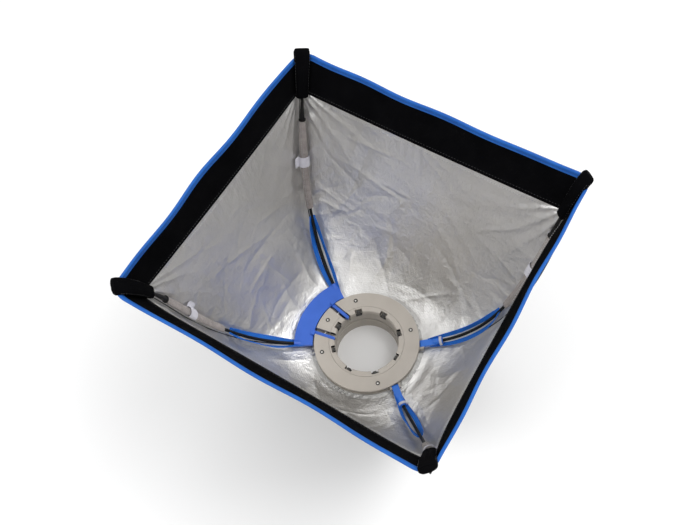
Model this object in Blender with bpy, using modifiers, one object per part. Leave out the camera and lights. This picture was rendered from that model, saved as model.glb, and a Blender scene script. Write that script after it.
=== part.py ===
"""Square folding softbox on a rotating speed ring: four bowed rods, fabric walls and a quick-release yoke.

Units are metres. The origin is the centre of the rear mount face, +Z runs towards the mouth and the
release yoke is on the -Y side. Corners are named front (yoke side) and back, left (-X) and right (+X).
"""
import math

import bmesh
import bpy
from mathutils import Matrix, Vector

# Driving dimensions
PLATE_RADIUS = 0.086
PLATE_TOP = 0.057
PLATE_THICKNESS = 0.004
GROOVE_RADIUS = 0.0615
GROOVE_GAP = 0.0004
GROOVE_DEPTH = 0.0012
BORE_RADIUS = 0.0523
FLANGE_TOP = 0.0462
FLANGE_THICKNESS = 0.004
FLANGE_RIM_TOP = 0.0512
FLANGE_RIM = (0.0775, 0.0836)
BOSS_RADIUS = 0.060
FOOT_RADIUS = 0.072
FOOT_BOTTOM = 0.0268
FOOT_THICKNESS = 0.0032
LINER_BOTTOM = 0.0485
EDGE = 0.0005
BORE_EDGE = 0.0012
MOUNT_TUBE_RADIUS = 0.057
MOUNT_BORE_RADIUS = 0.0515
MOUNT_FLANGE_RADIUS = 0.064
MOUNT_FLANGE_LEVELS = (0.021, 0.0252)
LUG_COUNT = 3
LUG_SINK = 0.001
LUG_RADIUS = 0.0615
LUG_HEIGHT = 0.004
LUG_ARC = math.radians(30)
SCREW_CIRCLE = 0.0744
SCREW_ANGLES = (0, 45, 135, 225, 315)
SCREW_HOLE_RADIUS = 0.0019
SCREW_HOLE_DEPTH = 0.010
COUNTERSINK_RADII = (0.0017, 0.0044)
COUNTERSINK_DEPTH = 0.0027
SCREW_PILOT_RADIUS = 0.0013
SCREW_PILOT_DEPTH = 0.007
SCREW_HEAD_DROP = 0.0003
SCREW_HEAD_RADIUS = 0.0036
SCREW_HEAD_DEPTH = 0.0021
SCREW_DRIVE_RADIUS = 0.0014
SCREW_DRIVE_DEPTH = 0.0012
SCREW_SHANK_RADIUS = 0.0011
SCREW_END = 0.0476
WASHER_RADII = (0.0535, 0.064)
WASHER_LEVELS = (0.0255, 0.0265)
RETAINER_RADII = (0.0574, 0.0644, 0.072)
RETAINER_LEVELS = (0.0172, 0.0207, 0.0265)
CLAMP_RADII = (0.0623, 0.084)
CLAMP_LEVELS = (0.0374, 0.0404)
COLLAR_RADII = (0.062, 0.091)
COLLAR_LEVELS = (0.0407, 0.0419)
WINDOW_COUNT = 8
WINDOW_SIZE = (0.012, 0.011, 0.016)
PILLAR_RADIUS = 0.0042
PILLAR_GAP = 0.0003
EAR_SIZE = (0.0095, 0.0030, 0.0095)
EAR_SHIFT = (-0.0010, 0.0019, -0.0020)
HINGE_Y = -0.0677
HINGE_Z = 0.0502
PRONG_X = 0.0253
PRONG_TILT = math.radians(11)
PRONG_TIP = 0.0205
PRONG_GAP = math.radians(2.2)
SECTOR_ENDS = (0.023, -0.026)
SECTOR_RISE = 0.002
SLOT_INSIDE = 0.0076
SLOT_OUTSIDE = 0.0038
FINGER_WIDTH = 0.0052
FINGER_ROOM = 0.008
FINGER_CUT = (0.033, 0.016)
FINGER_CUT_MIDDLE = (0.0, 0.0115, 0.0445)
POST_GAP = 0.0003
POST_WIDTH = 0.0032
POST_LENGTH = 0.0062
POST_LEVELS = (0.04515, 0.05265)
YOKE_BOTTOM = 0.0482
YOKE_THICKNESS = 0.006
YOKE_INNER = 0.0883
YOKE_OUTER = 0.1185
YOKE_HALF_ARC = math.radians(33.5)
YOKE_CORNER_ARC = math.radians(3.5)
YOKE_CORNER = 0.006
PRONG_LENGTH = 0.021
LEVER_PIVOT = Vector((0.0418, 0.0779, 0.0496))
LEVER_ANGLE = math.radians(40)
LEVER_LENGTH = 0.0253
LEVER_WIDTH = 0.011
LEVER_HALF_THICKNESS = 0.0027
LEVER_NOSE = 0.002
LEVER_COLLAR_RADII = (0.0059, 0.0076)
LEVER_COLLAR_HALF = 0.002
LEVER_PIN_REACH = 0.0087
PIN_RADIUS = 0.0015
PIN_HOLE_RADIUS = 0.0017
PIN_HOLE_LENGTH = 0.024
YOKE_PIN_HOLE_LENGTH = 0.070
ROD_RADIUS = 0.0026
ROD_FIT = 0.0011
SOCKET_RADIUS = 0.0055
SOCKET_BACK = 0.005
SOCKET_BORE_LENGTH = 0.016
SOCKET_BORE_MIDDLE = 0.0075
YOKE_SOCKET = 0.0115
LEVER_SOCKET = 0.016
TIP_RADIUS = 0.0046
TIP_WALL = 0.0012
SLEEVE_HALF_WIDTH = 0.0062
SLEEVE_HALF_DEPTH = 0.0042
SLEEVE_WALL = 0.0009
POCKET_HALF_WIDTH = 0.0095
POCKET_HALF_DEPTH = 0.0066
POCKET_WALL = 0.0013
SLEEVE_RANGE = (0.160, 0.308)
LOOP_HEIGHT = 0.246
LOOP_WEBBING = 0.019
LOOP_ROOM = 0.0018
LOOP_TAB = 0.0056
LOOP_TAB_HALF_WIDTH = 0.0035
LOOP_FIT = 0.0005
TIP_RANGE = (0.319, 0.414)
POCKET_RANGE = (0.366, 0.421)
ROD_START = 0.0015
ROD_TOP = 0.409
SLIT_RANGE = (0.064, 0.132)
SLIT_HALF_WIDTH = 0.0066
SLIT_BULGE = 0.0052
SLIT_TAPE_RADIUS = 0.0019
FABRIC = 0.0012
BINDING_RADIUS = 0.003
BINDING_LIFT = 0.0005
WALL_SPAN = 0.965
WALL_RANGE = (0.02, 0.985)
BAND_SPAN = 0.90
BAND_RANGE = (0.03, 0.93)
RIM_HALF_SIDE = 0.217
RIM_HEIGHT = 0.415
SIDE_OFFSET = 0.0015
RING_STEPS = 56
SMALL_STEPS = 12

# Curves from the ring to the mouth, drawn in the (+X, +Y) corner
ROD_CURVE = ((0.0581, 0.0973, 0.0505), (0.140, 0.218, 0.086), (0.156, 0.187, 0.352), (0.2065, 0.2085, 0.422))
SEAM_CURVE = ((0.043, 0.079, 0.036), (0.150, 0.238, 0.052), (0.163, 0.199, 0.330), (0.191, 0.211, 0.366))
END_MIDDLE = ((0.0, 0.090, 0.036), (0.0, 0.196, 0.050), (0.0, 0.194, 0.250), (0.0, 0.209, 0.366))
SIDE_MIDDLE = ((0.090, 0.0, 0.036), (0.158, 0.0, 0.050), (0.176, 0.0, 0.250), (0.189, 0.0, 0.366))
END_ARC = math.radians(28.6)
SIDE_ARC = math.radians(61.4)

CORNERS = {
    "front_left": (-1, -1),
    "front_right": (1, -1),
    "back_left": (-1, 1),
    "back_right": (1, 1),
}


# Scene and materials

def clear_scene():
    for obj in list(bpy.data.objects):
        bpy.data.objects.remove(obj, do_unlink=True)


def make_collection(name):
    collection = bpy.data.collections.new(name)
    bpy.context.scene.collection.children.link(collection)
    return collection


def make_material(name, color, roughness, metallic=0.0):
    material = bpy.data.materials.new(name)
    material.use_nodes = True
    shader = material.node_tree.nodes["Principled BSDF"]
    shader.inputs["Base Color"].default_value = (*color, 1.0)
    shader.inputs["Roughness"].default_value = roughness
    shader.inputs["Metallic"].default_value = metallic
    material.diffuse_color = (*color, 1.0)
    return material


LOOKS = {
    "plate": ((0.42, 0.38, 0.34), 0.45, 0.0),
    "housing": ((0.36, 0.33, 0.29), 0.5, 0.0),
    "clamp": ((0.03, 0.03, 0.03), 0.5, 0.0),
    "metal": ((0.62, 0.62, 0.62), 0.3, 1.0),
    "blue": ((0.05, 0.14, 0.62), 0.4, 0.0),
    "blue_fabric": ((0.02, 0.16, 0.65), 0.8, 0.0),
    "black_rod": ((0.02, 0.02, 0.02), 0.35, 0.0),
    "black_fabric": ((0.012, 0.012, 0.014), 0.9, 0.0),
    "grey_webbing": ((0.30, 0.28, 0.27), 0.85, 0.0),
    "white": ((0.78, 0.78, 0.82), 0.6, 0.0),
    "lining": ((0.55, 0.55, 0.54), 0.3, 0.8),
}


class Builder:
    """Makes objects, gives each its own material and keeps the two collections."""

    def __init__(self):
        self.parts = make_collection("softbox")
        self.cutters = make_collection("cutters")

    def add(self, name, data, look):
        obj = bpy.data.objects.new(name, data)
        self.parts.objects.link(obj)
        data.materials.append(make_material(name, *LOOKS[look]))
        return obj

    def add_cutter(self, name, mesh):
        obj = bpy.data.objects.new(name, mesh)
        self.cutters.objects.link(obj)
        obj.hide_render = True
        obj.display_type = "WIRE"
        return obj


# Curves and surfaces of the design

def bezier(points, t):
    a, b, c, d = (Vector(point) for point in points)
    s = 1 - t
    return a * s ** 3 + b * (3 * s * s * t) + c * (3 * s * t * t) + d * t ** 3


def parameter_at_height(points, height):
    low, high = 0.0, 1.0
    for _ in range(40):
        middle = (low + high) / 2
        if bezier(points, middle).z < height:
            low = middle
        else:
            high = middle
    return (low + high) / 2


def rod_path(low, high, count, sign):
    """Points on the rod's centre line between two heights, in the corner given by sign."""
    start = parameter_at_height(ROD_CURVE, low)
    end = parameter_at_height(ROD_CURVE, high)
    points = [bezier(ROD_CURVE, start + (end - start) * i / (count - 1)) for i in range(count)]
    return [Vector((sign[0] * p.x, sign[1] * p.y, p.z)) for p in points]


def round_to_square(u, v, arc):
    """How far a wall point is along its span and towards the corner: an arc below, a parabola above."""
    arc_span = math.sin(arc * u) / math.sin(arc)
    arc_rise = (1 - math.cos(arc * u)) / (1 - math.cos(arc))
    return (1 - v) * arc_span + v * u, (1 - v) * arc_rise + v * u * u


def end_wall_point(u, v):
    """A point of the wall at +Y; u runs -1 to 1 across it and v runs 0 to 1 up it."""
    seam = bezier(SEAM_CURVE, v)
    middle = bezier(END_MIDDLE, v)
    span, rise = round_to_square(u, v, END_ARC)
    point = middle + (seam - middle) * rise
    return Vector((seam.x * span, point.y, point.z))


def side_wall_point(u, v):
    """A point of the wall at +X; it stands slightly outside the seam, so the front group can fold past."""
    seam = bezier(SEAM_CURVE, v)
    middle = bezier(SIDE_MIDDLE, v)
    span, rise = round_to_square(u, v, SIDE_ARC)
    x = middle.x + (seam.x - middle.x) * rise + SIDE_OFFSET
    return Vector((x, seam.y * span, middle.z + (seam.z - middle.z) * rise))


def end_band_point(u, w):
    low = end_wall_point(u, 1.0)
    return low.lerp(Vector((RIM_HALF_SIDE * u, RIM_HALF_SIDE, RIM_HEIGHT)), w)


def side_band_point(u, w):
    low = side_wall_point(u, 1.0)
    return low.lerp(Vector((RIM_HALF_SIDE + SIDE_OFFSET, RIM_HALF_SIDE * u, RIM_HEIGHT)), w)


# Shape makers

def mesh_from_bmesh(name, bm):
    mesh = bpy.data.meshes.new(name)
    bm.to_mesh(mesh)
    bm.free()
    return mesh


def add_box(bm, size, matrix):
    made = bmesh.ops.create_cube(bm, size=1.0, matrix=matrix @ Matrix.Diagonal((*size, 1.0)))
    return made["verts"]


def add_cylinder(bm, radius, depth, matrix, segments=SMALL_STEPS, top_radius=None):
    top = radius if top_radius is None else top_radius
    bmesh.ops.create_cone(bm, cap_ends=True, segments=segments, radius1=radius, radius2=top,
                          depth=depth, matrix=matrix)


def add_prism(bm, outline, low, high):
    """An upright prism over a flat outline that runs counter-clockwise."""
    base = bm.faces.new([bm.verts.new((x, y, low)) for x, y in outline])
    lifted = bmesh.ops.extrude_face_region(bm, geom=[base])
    raised = [item for item in lifted["geom"] if isinstance(item, bmesh.types.BMVert)]
    bmesh.ops.translate(bm, vec=(0, 0, high - low), verts=raised)
    bmesh.ops.recalc_face_normals(bm, faces=bm.faces)


def turned(builder, name, profile, look, steps=RING_STEPS):
    """A ring or a bar turned about Z; the profile runs down its outer side, top to bottom."""
    bm = bmesh.new()
    verts = [bm.verts.new((radius, 0.0, height)) for radius, height in profile]
    for first, second in zip(verts, verts[1:]):
        bm.edges.new((first, second))
    on_axis = profile[0][0] == 0.0
    if not on_axis:
        bm.edges.new((verts[-1], verts[0]))
    obj = builder.add(name, mesh_from_bmesh(name, bm), look)
    screw = obj.modifiers.new("Turn", "SCREW")
    screw.steps = steps
    screw.render_steps = steps
    screw.use_merge_vertices = True
    screw.merge_threshold = 0.00001
    return obj


def flat_ring(radii, levels):
    """The profile of a plain ring between two radii and two heights."""
    inner, outer = radii
    low, high = levels
    return [(outer, high), (outer, low), (inner, low), (inner, high)]


def boolean(obj, cutter, operation="DIFFERENCE"):
    modifier = obj.modifiers.new(cutter.name, "BOOLEAN")
    modifier.operation = operation
    modifier.solver = "EXACT"
    modifier.object = cutter


def tube(builder, name, points, radius, look, bevel_resolution=2):
    """A bar along a row of points."""
    curve = bpy.data.curves.new(name, "CURVE")
    curve.dimensions = "3D"
    curve.bevel_depth = radius
    curve.bevel_resolution = bevel_resolution
    curve.use_fill_caps = True
    spline = curve.splines.new("POLY")
    spline.points.add(len(points) - 1)
    for target, point in zip(spline.points, points):
        target.co = (*point, 1.0)
    return builder.add(name, curve, look)


def outline_plate(builder, name, loops, thickness, look):
    """A flat plate with the given closed outlines; loops after the first are holes."""
    curve = bpy.data.curves.new(name, "CURVE")
    curve.dimensions = "2D"
    curve.fill_mode = "BOTH"
    curve.extrude = thickness / 2
    for loop in loops:
        spline = curve.splines.new("POLY")
        spline.points.add(len(loop) - 1)
        for target, (x, y) in zip(spline.points, loop):
            target.co = (x, y, 0.0, 1.0)
        spline.use_cyclic_u = True
    return builder.add(name, curve, look)


def to_mesh_object(builder, obj):
    """Replace a curve object by a mesh object of the same shape, so that it can be cut."""
    depsgraph = bpy.context.evaluated_depsgraph_get()
    mesh = bpy.data.meshes.new_from_object(obj.evaluated_get(depsgraph))
    bm = bmesh.new()
    bm.from_mesh(mesh)
    bmesh.ops.remove_doubles(bm, verts=bm.verts, dist=0.00001)
    bm.to_mesh(mesh)
    bm.free()
    name = obj.name
    matrix = obj.matrix_world.copy()
    bpy.data.objects.remove(obj, do_unlink=True)
    mesh_object = bpy.data.objects.new(name, mesh)
    mesh_object.matrix_world = matrix
    builder.parts.objects.link(mesh_object)
    return mesh_object


def sheet(builder, name, point_at, columns, rows, sign, look, inward):
    """A fabric sheet over a grid of design points; its face looks out of the box."""
    bm = bmesh.new()
    grid = []
    for row in rows:
        line = []
        for column in columns:
            p = point_at(column, row)
            line.append(bm.verts.new((sign[0] * p.x, sign[1] * p.y, p.z)))
        grid.append(line)
    for lower, upper in zip(grid, grid[1:]):
        for i in range(len(lower) - 1):
            corners = (lower[i], lower[i + 1], upper[i + 1], upper[i])
            if inward:
                corners = corners[::-1]
            bm.faces.new(corners)
    obj = builder.add(name, mesh_from_bmesh(name, bm), look)
    solidify = obj.modifiers.new("Fabric", "SOLIDIFY")
    solidify.thickness = FABRIC
    solidify.offset = 0.0
    return obj


def sleeve_mesh(name, path, half_width, half_depth, across, sides, closed_top):
    """A flattened tube along a path; across is the direction of its wide side."""
    bm = bmesh.new()
    rings = []
    for index, centre in enumerate(path):
        before = path[max(index - 1, 0)]
        after = path[min(index + 1, len(path) - 1)]
        tangent = (after - before).normalized()
        wide = (across - tangent * across.dot(tangent)).normalized()
        deep = tangent.cross(wide)
        ring = []
        for step in range(sides):
            angle = 2 * math.pi * step / sides
            offset = wide * (half_width * math.cos(angle)) + deep * (half_depth * math.sin(angle))
            ring.append(bm.verts.new(centre + offset))
        rings.append(ring)
    for lower, upper in zip(rings, rings[1:]):
        for i in range(sides):
            j = (i + 1) % sides
            bm.faces.new((lower[i], lower[j], upper[j], upper[i]))
    if closed_top:
        bm.faces.new(rings[-1])
    return mesh_from_bmesh(name, bm)


def flat_sleeve(builder, name, path, half_width, half_depth, wall, across, sides, look, closed_top=False):
    mesh = sleeve_mesh(name, path, half_width, half_depth, across, sides, closed_top)
    obj = builder.add(name, mesh, look)
    solidify = obj.modifiers.new("Wall", "SOLIDIFY")
    solidify.thickness = wall
    solidify.offset = -1.0
    solidify.use_even_offset = True
    return obj


def spread(low, high, count):
    return [low + (high - low) * i / (count - 1) for i in range(count)]


def arc_points(radius, start, end, count):
    """Points on an arc about the origin; angles are measured from -Y towards +X."""
    return [(radius * math.sin(a), -radius * math.cos(a)) for a in spread(start, end, count)]


def axis_matrix(origin, direction):
    """A frame at origin whose Z runs along direction."""
    rotation = Vector(direction).to_track_quat("Z", "Y").to_matrix().to_4x4()
    return Matrix.Translation(origin) @ rotation


def ring_matrix(angle, radius, height):
    """A frame on a circle about Z: its -Y points outward at the angle from -Y towards +X."""
    return Matrix.Rotation(angle, 4, "Z") @ Matrix.Translation((0.0, -radius, height))


# Speed ring

def prong_matrix(side):
    """A frame at a yoke pin whose -Y runs along the prong, outward."""
    return Matrix.Translation((side * PRONG_X, HINGE_Y, 0.0)) @ Matrix.Rotation(side * PRONG_TILT, 4, "Z")


def make_prong_region(builder, name, reach):
    """A block over the sector that holds both prongs; reach is its edge's distance from each prong's line."""
    corners = []
    for side, ends in ((-1, SECTOR_ENDS), (1, SECTOR_ENDS[::-1])):
        for end in ends:
            corners.append(tuple((prong_matrix(side) @ Vector((side * reach, end, 0.0)))[:2]))
    bm = bmesh.new()
    add_prism(bm, corners, FLANGE_TOP, PLATE_TOP + SECTOR_RISE)
    return builder.add_cutter(name, mesh_from_bmesh(name, bm))


def make_finger_cutter(builder):
    """Room under the plate for the finger tips, which dip as the yoke tilts."""
    bm = bmesh.new()
    for side in (-1, 1):
        centre = Matrix.Translation(FINGER_CUT_MIDDLE)
        add_box(bm, (FINGER_ROOM, *FINGER_CUT), prong_matrix(side) @ centre)
    return builder.add_cutter("finger_cutter", mesh_from_bmesh("finger_cutter", bm))


def make_screw_hole_cutter(builder):
    bm = bmesh.new()
    for angle in SCREW_ANGLES:
        place = ring_matrix(math.radians(angle), SCREW_CIRCLE, PLATE_TOP - 0.003)
        add_cylinder(bm, SCREW_HOLE_RADIUS, SCREW_HOLE_DEPTH, place)
    shafts = builder.add_cutter("screw_shaft_cutter", mesh_from_bmesh("screw_shaft_cutter", bm))
    bm = bmesh.new()
    for angle in SCREW_ANGLES:
        place = ring_matrix(math.radians(angle), SCREW_CIRCLE, PLATE_TOP - 0.001)
        add_cylinder(bm, COUNTERSINK_RADII[0], COUNTERSINK_DEPTH, place, top_radius=COUNTERSINK_RADII[1])
    heads = builder.add_cutter("screw_head_cutter", mesh_from_bmesh("screw_head_cutter", bm))
    return shafts, heads


def make_top_plate(builder, prong_region, screw_holes):
    bottom = PLATE_TOP - PLATE_THICKNESS
    profile = [
        (PLATE_RADIUS - EDGE, PLATE_TOP), (PLATE_RADIUS, PLATE_TOP - EDGE),
        (PLATE_RADIUS, bottom), (GROOVE_RADIUS, bottom), (GROOVE_RADIUS, PLATE_TOP),
    ]
    plate = turned(builder, "top_plate", profile, "plate", steps=96)
    boolean(plate, prong_region)
    for cutter in screw_holes:
        boolean(plate, cutter)


def make_window_cutter(builder):
    bm = bmesh.new()
    for index in range(WINDOW_COUNT):
        place = ring_matrix(2 * math.pi * index / WINDOW_COUNT, BORE_RADIUS + EDGE, PLATE_TOP - 0.002)
        add_box(bm, WINDOW_SIZE, place)
    return builder.add_cutter("window_cutter", mesh_from_bmesh("window_cutter", bm))


def make_bore_liner(builder, prong_region, window_cutter):
    outer = GROOVE_RADIUS - GROOVE_GAP
    profile = [
        (outer, PLATE_TOP), (outer, LINER_BOTTOM), (BORE_RADIUS, LINER_BOTTOM),
        (BORE_RADIUS, PLATE_TOP - BORE_EDGE), (BORE_RADIUS + BORE_EDGE, PLATE_TOP),
    ]
    liner = turned(builder, "bore_liner", profile, "plate", steps=96)
    boolean(liner, prong_region)
    boolean(liner, window_cutter)


def make_plate_bridge(builder, bridge_region, screw_holes, window_cutter):
    """The piece of the ring's face between the two prongs, which screw 1 holds."""
    bottom = PLATE_TOP - PLATE_THICKNESS
    groove_inner = GROOVE_RADIUS - GROOVE_GAP
    groove_floor = PLATE_TOP - GROOVE_DEPTH
    profile = [
        (PLATE_RADIUS - EDGE, PLATE_TOP), (PLATE_RADIUS, PLATE_TOP - EDGE), (PLATE_RADIUS, bottom),
        (GROOVE_RADIUS, bottom), (groove_inner, LINER_BOTTOM), (BORE_RADIUS, LINER_BOTTOM),
        (BORE_RADIUS, PLATE_TOP - BORE_EDGE), (BORE_RADIUS + BORE_EDGE, PLATE_TOP),
        (groove_inner, PLATE_TOP), (groove_inner, groove_floor),
        (GROOVE_RADIUS, groove_floor), (GROOVE_RADIUS, PLATE_TOP),
    ]
    bridge = turned(builder, "plate_bridge", profile, "plate", steps=96)
    boolean(bridge, bridge_region, "INTERSECT")
    for cutter in screw_holes:
        boolean(bridge, cutter)
    boolean(bridge, window_cutter)


def lever_frame(side):
    """A frame at a lever's pivot: X runs along the lever, Y along its pin, Z up."""
    direction = Vector((side * math.sin(LEVER_ANGLE), math.cos(LEVER_ANGLE), 0.0))
    across = Vector((0, 0, 1)).cross(direction)
    matrix = Matrix((direction, across, Vector((0, 0, 1)))).transposed().to_4x4()
    origin = Vector((side * LEVER_PIVOT.x, LEVER_PIVOT.y, LEVER_PIVOT.z))
    return Matrix.Translation(origin) @ matrix


def pin_ends(side):
    """The two ends of a yoke pin; it spans its slot and the posts on both sides of it."""
    post = POST_GAP + POST_WIDTH + EDGE
    inside = Vector((side * (PRONG_X - SLOT_INSIDE - post), HINGE_Y, HINGE_Z))
    outside = Vector((side * (PRONG_X + SLOT_OUTSIDE + post), HINGE_Y, HINGE_Z))
    return inside, outside


def make_flange_rim(builder, prong_region):
    """The raised outer rim of the flange, which leaves the prongs' sector open."""
    inner, outer = FLANGE_RIM
    sunk = FLANGE_TOP - EDGE
    profile = [(outer, FLANGE_RIM_TOP), (outer, sunk), (inner, sunk), (inner, FLANGE_RIM_TOP)]
    rim = turned(builder, "flange_rim_union", profile, "housing")
    boolean(rim, prong_region)
    builder.parts.objects.unlink(rim)
    builder.cutters.objects.link(rim)
    rim.hide_render = True
    rim.display_type = "WIRE"
    return rim


def add_supports(bm):
    """Pillars under the screws, posts beside the yoke's pins and ears beside the levers."""
    pillar_height = PLATE_TOP - PLATE_THICKNESS - PILLAR_GAP - FLANGE_TOP
    for angle in SCREW_ANGLES:
        place = ring_matrix(math.radians(angle), SCREW_CIRCLE, FLANGE_TOP + pillar_height / 2 - EDGE)
        add_cylinder(bm, PILLAR_RADIUS, pillar_height + 2 * EDGE, place)
    post_low, post_high = POST_LEVELS
    post_size = (POST_WIDTH, POST_LENGTH, post_high - post_low)
    for side in (-1, 1):
        for reach in (-SLOT_INSIDE - POST_GAP - POST_WIDTH / 2, SLOT_OUTSIDE + POST_GAP + POST_WIDTH / 2):
            x = side * (PRONG_X + reach)
            add_box(bm, post_size, Matrix.Translation((x, HINGE_Y, (post_low + post_high) / 2)))
        for edge in (-1, 1):
            ear = Matrix.Translation((EAR_SHIFT[0], edge * (LEVER_WIDTH / 2 + EAR_SHIFT[1]), EAR_SHIFT[2]))
            add_box(bm, EAR_SIZE, lever_frame(side) @ ear)


def add_pin_holes(bm):
    turn = Matrix.Rotation(math.pi / 2, 4, "X")
    for angle in SCREW_ANGLES:
        pilot = ring_matrix(math.radians(angle), SCREW_CIRCLE, PLATE_TOP - SCREW_PILOT_DEPTH)
        add_cylinder(bm, SCREW_PILOT_RADIUS, SCREW_PILOT_DEPTH, pilot)
    for side in (-1, 1):
        inside, outside = pin_ends(side)
        middle = (inside + outside) / 2
        pin = Matrix.Translation(middle) @ Matrix.Rotation(math.pi / 2, 4, "Y")
        add_cylinder(bm, PIN_HOLE_RADIUS, PIN_HOLE_LENGTH, pin)
        add_cylinder(bm, PIN_HOLE_RADIUS, PIN_HOLE_LENGTH, lever_frame(side) @ turn)


def make_housing(builder, prong_region, finger_cutter):
    flange_bottom = FLANGE_TOP - FLANGE_THICKNESS
    boss_inner = BORE_RADIUS + EDGE
    boss_top = FLANGE_TOP + 0.002
    foot_top = FOOT_BOTTOM + FOOT_THICKNESS
    profile = [
        (BOSS_RADIUS, boss_top), (BOSS_RADIUS, FLANGE_TOP), (PLATE_RADIUS, FLANGE_TOP),
        (PLATE_RADIUS, flange_bottom), (BOSS_RADIUS, flange_bottom), (BOSS_RADIUS, foot_top),
        (FOOT_RADIUS, foot_top), (FOOT_RADIUS, FOOT_BOTTOM),
        (boss_inner, FOOT_BOTTOM), (boss_inner, boss_top),
    ]
    housing = turned(builder, "housing_base", profile, "housing")
    boolean(housing, make_flange_rim(builder, prong_region), "UNION")
    supports = bmesh.new()
    add_supports(supports)
    boolean(housing, builder.add_cutter("support_union", mesh_from_bmesh("support_union", supports)), "UNION")
    boolean(housing, finger_cutter)
    holes = bmesh.new()
    add_pin_holes(holes)
    boolean(housing, builder.add_cutter("pin_hole_cutter", mesh_from_bmesh("pin_hole_cutter", holes)))


def make_mount_parts(builder, mount_axis):
    flange_bottom, flange_top = MOUNT_FLANGE_LEVELS
    profile = [
        (MOUNT_FLANGE_RADIUS, flange_top), (MOUNT_FLANGE_RADIUS, flange_bottom),
        (MOUNT_TUBE_RADIUS, flange_bottom), (MOUNT_TUBE_RADIUS, 0.0), (MOUNT_BORE_RADIUS, 0.0),
        (MOUNT_BORE_RADIUS, flange_top),
    ]
    mount_tube = turned(builder, "mount_tube", profile, "housing")
    bm = bmesh.new()
    for index in range(LUG_COUNT):
        start = 2 * math.pi * index / LUG_COUNT - LUG_ARC / 2
        inner = arc_points(MOUNT_TUBE_RADIUS - LUG_SINK, start, start + LUG_ARC, 7)
        outer = arc_points(LUG_RADIUS, start, start + LUG_ARC, 7)
        add_prism(bm, inner[::-1] + outer, 0.0, LUG_HEIGHT)
    boolean(mount_tube, builder.add_cutter("lug_union", mesh_from_bmesh("lug_union", bm)), "UNION")
    follow(mount_tube, mount_axis)

    turned(builder, "friction_washer", flat_ring(WASHER_RADII, WASHER_LEVELS), "black_rod")
    inner, lip, outer = RETAINER_RADII
    low, ledge, high = RETAINER_LEVELS
    retainer = [(outer, high), (outer, low), (inner, low), (inner, ledge), (lip, ledge), (lip, high)]
    turned(builder, "retaining_ring", retainer, "plate")


def make_fabric_clamp(builder):
    turned(builder, "fabric_clamp_ring", flat_ring(CLAMP_RADII, CLAMP_LEVELS), "clamp", steps=48)
    turned(builder, "back_collar", flat_ring(COLLAR_RADII, COLLAR_LEVELS), "lining", steps=48)


def make_plate_screws(builder):
    head = PLATE_TOP - SCREW_HEAD_DROP
    drive = head - SCREW_DRIVE_DEPTH
    profile = [
        (0.0, drive), (SCREW_DRIVE_RADIUS, drive), (SCREW_DRIVE_RADIUS, head), (SCREW_HEAD_RADIUS, head),
        (SCREW_SHANK_RADIUS, head - SCREW_HEAD_DEPTH), (SCREW_SHANK_RADIUS, SCREW_END), (0.0, SCREW_END),
    ]
    for index, angle in enumerate(SCREW_ANGLES):
        screw = turned(builder, f"plate_screw_{index + 1}", profile, "metal", steps=10)
        screw.matrix_world = ring_matrix(math.radians(angle), SCREW_CIRCLE, 0.0)


# Yoke and levers

def yoke_outline():
    """The yoke's outline: an arc-shaped plate with two prongs that point into the ring."""
    outer_arc = YOKE_HALF_ARC - YOKE_CORNER_ARC
    corner = YOKE_OUTER - YOKE_CORNER
    outline = arc_points(YOKE_OUTER, -outer_arc, outer_arc, 17)
    outline += arc_points(corner, YOKE_HALF_ARC, YOKE_HALF_ARC, 2)[:1]

    def prong(side):
        half = FINGER_WIDTH / 2
        tip = PRONG_TIP - half
        local = [(half, -PRONG_LENGTH)]
        local += [(half * math.cos(a), tip + half * math.sin(a)) for a in spread(0, math.pi, 7)]
        local += [(-half, -PRONG_LENGTH)]
        matrix = prong_matrix(side)
        return [tuple((matrix @ Vector((x, y, 0.0)))[:2]) for x, y in local]

    root = math.asin((PRONG_X + PRONG_LENGTH * math.sin(PRONG_TILT)) / YOKE_INNER)
    outline += arc_points(YOKE_INNER, YOKE_HALF_ARC, root + PRONG_GAP, 5)
    outline += prong(1)
    outline += arc_points(YOKE_INNER, root - PRONG_GAP, -root + PRONG_GAP, 9)
    outline += prong(-1)
    outline += arc_points(YOKE_INNER, -root - PRONG_GAP, -YOKE_HALF_ARC, 5)
    outline += arc_points(corner, -YOKE_HALF_ARC, -YOKE_HALF_ARC, 2)[:1]
    return outline


def rod_start(sign):
    """The rod's first point and direction in a corner."""
    start = Vector(ROD_CURVE[0])
    direction = (Vector(ROD_CURVE[1]) - start).normalized()
    flip = Vector((sign[0], sign[1], 1.0))
    return start * flip, direction * flip


def make_sockets(builder, name, signs, length):
    """Tubes that hold the rods' lower ends, and the bores inside them."""
    tubes = bmesh.new()
    bores = bmesh.new()
    for sign in signs:
        start, direction = rod_start(sign)
        middle = start + direction * (length / 2 - SOCKET_BACK)
        add_cylinder(tubes, SOCKET_RADIUS, length, axis_matrix(middle, direction))
        bore_middle = start + direction * SOCKET_BORE_MIDDLE
        add_cylinder(bores, ROD_RADIUS + ROD_FIT, SOCKET_BORE_LENGTH, axis_matrix(bore_middle, direction))
    union = builder.add_cutter(name + "_socket_union", mesh_from_bmesh(name + "_socket_union", tubes))
    bore = builder.add_cutter(name + "_socket_bore", mesh_from_bmesh(name + "_socket_bore", bores))
    return union, bore


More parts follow.
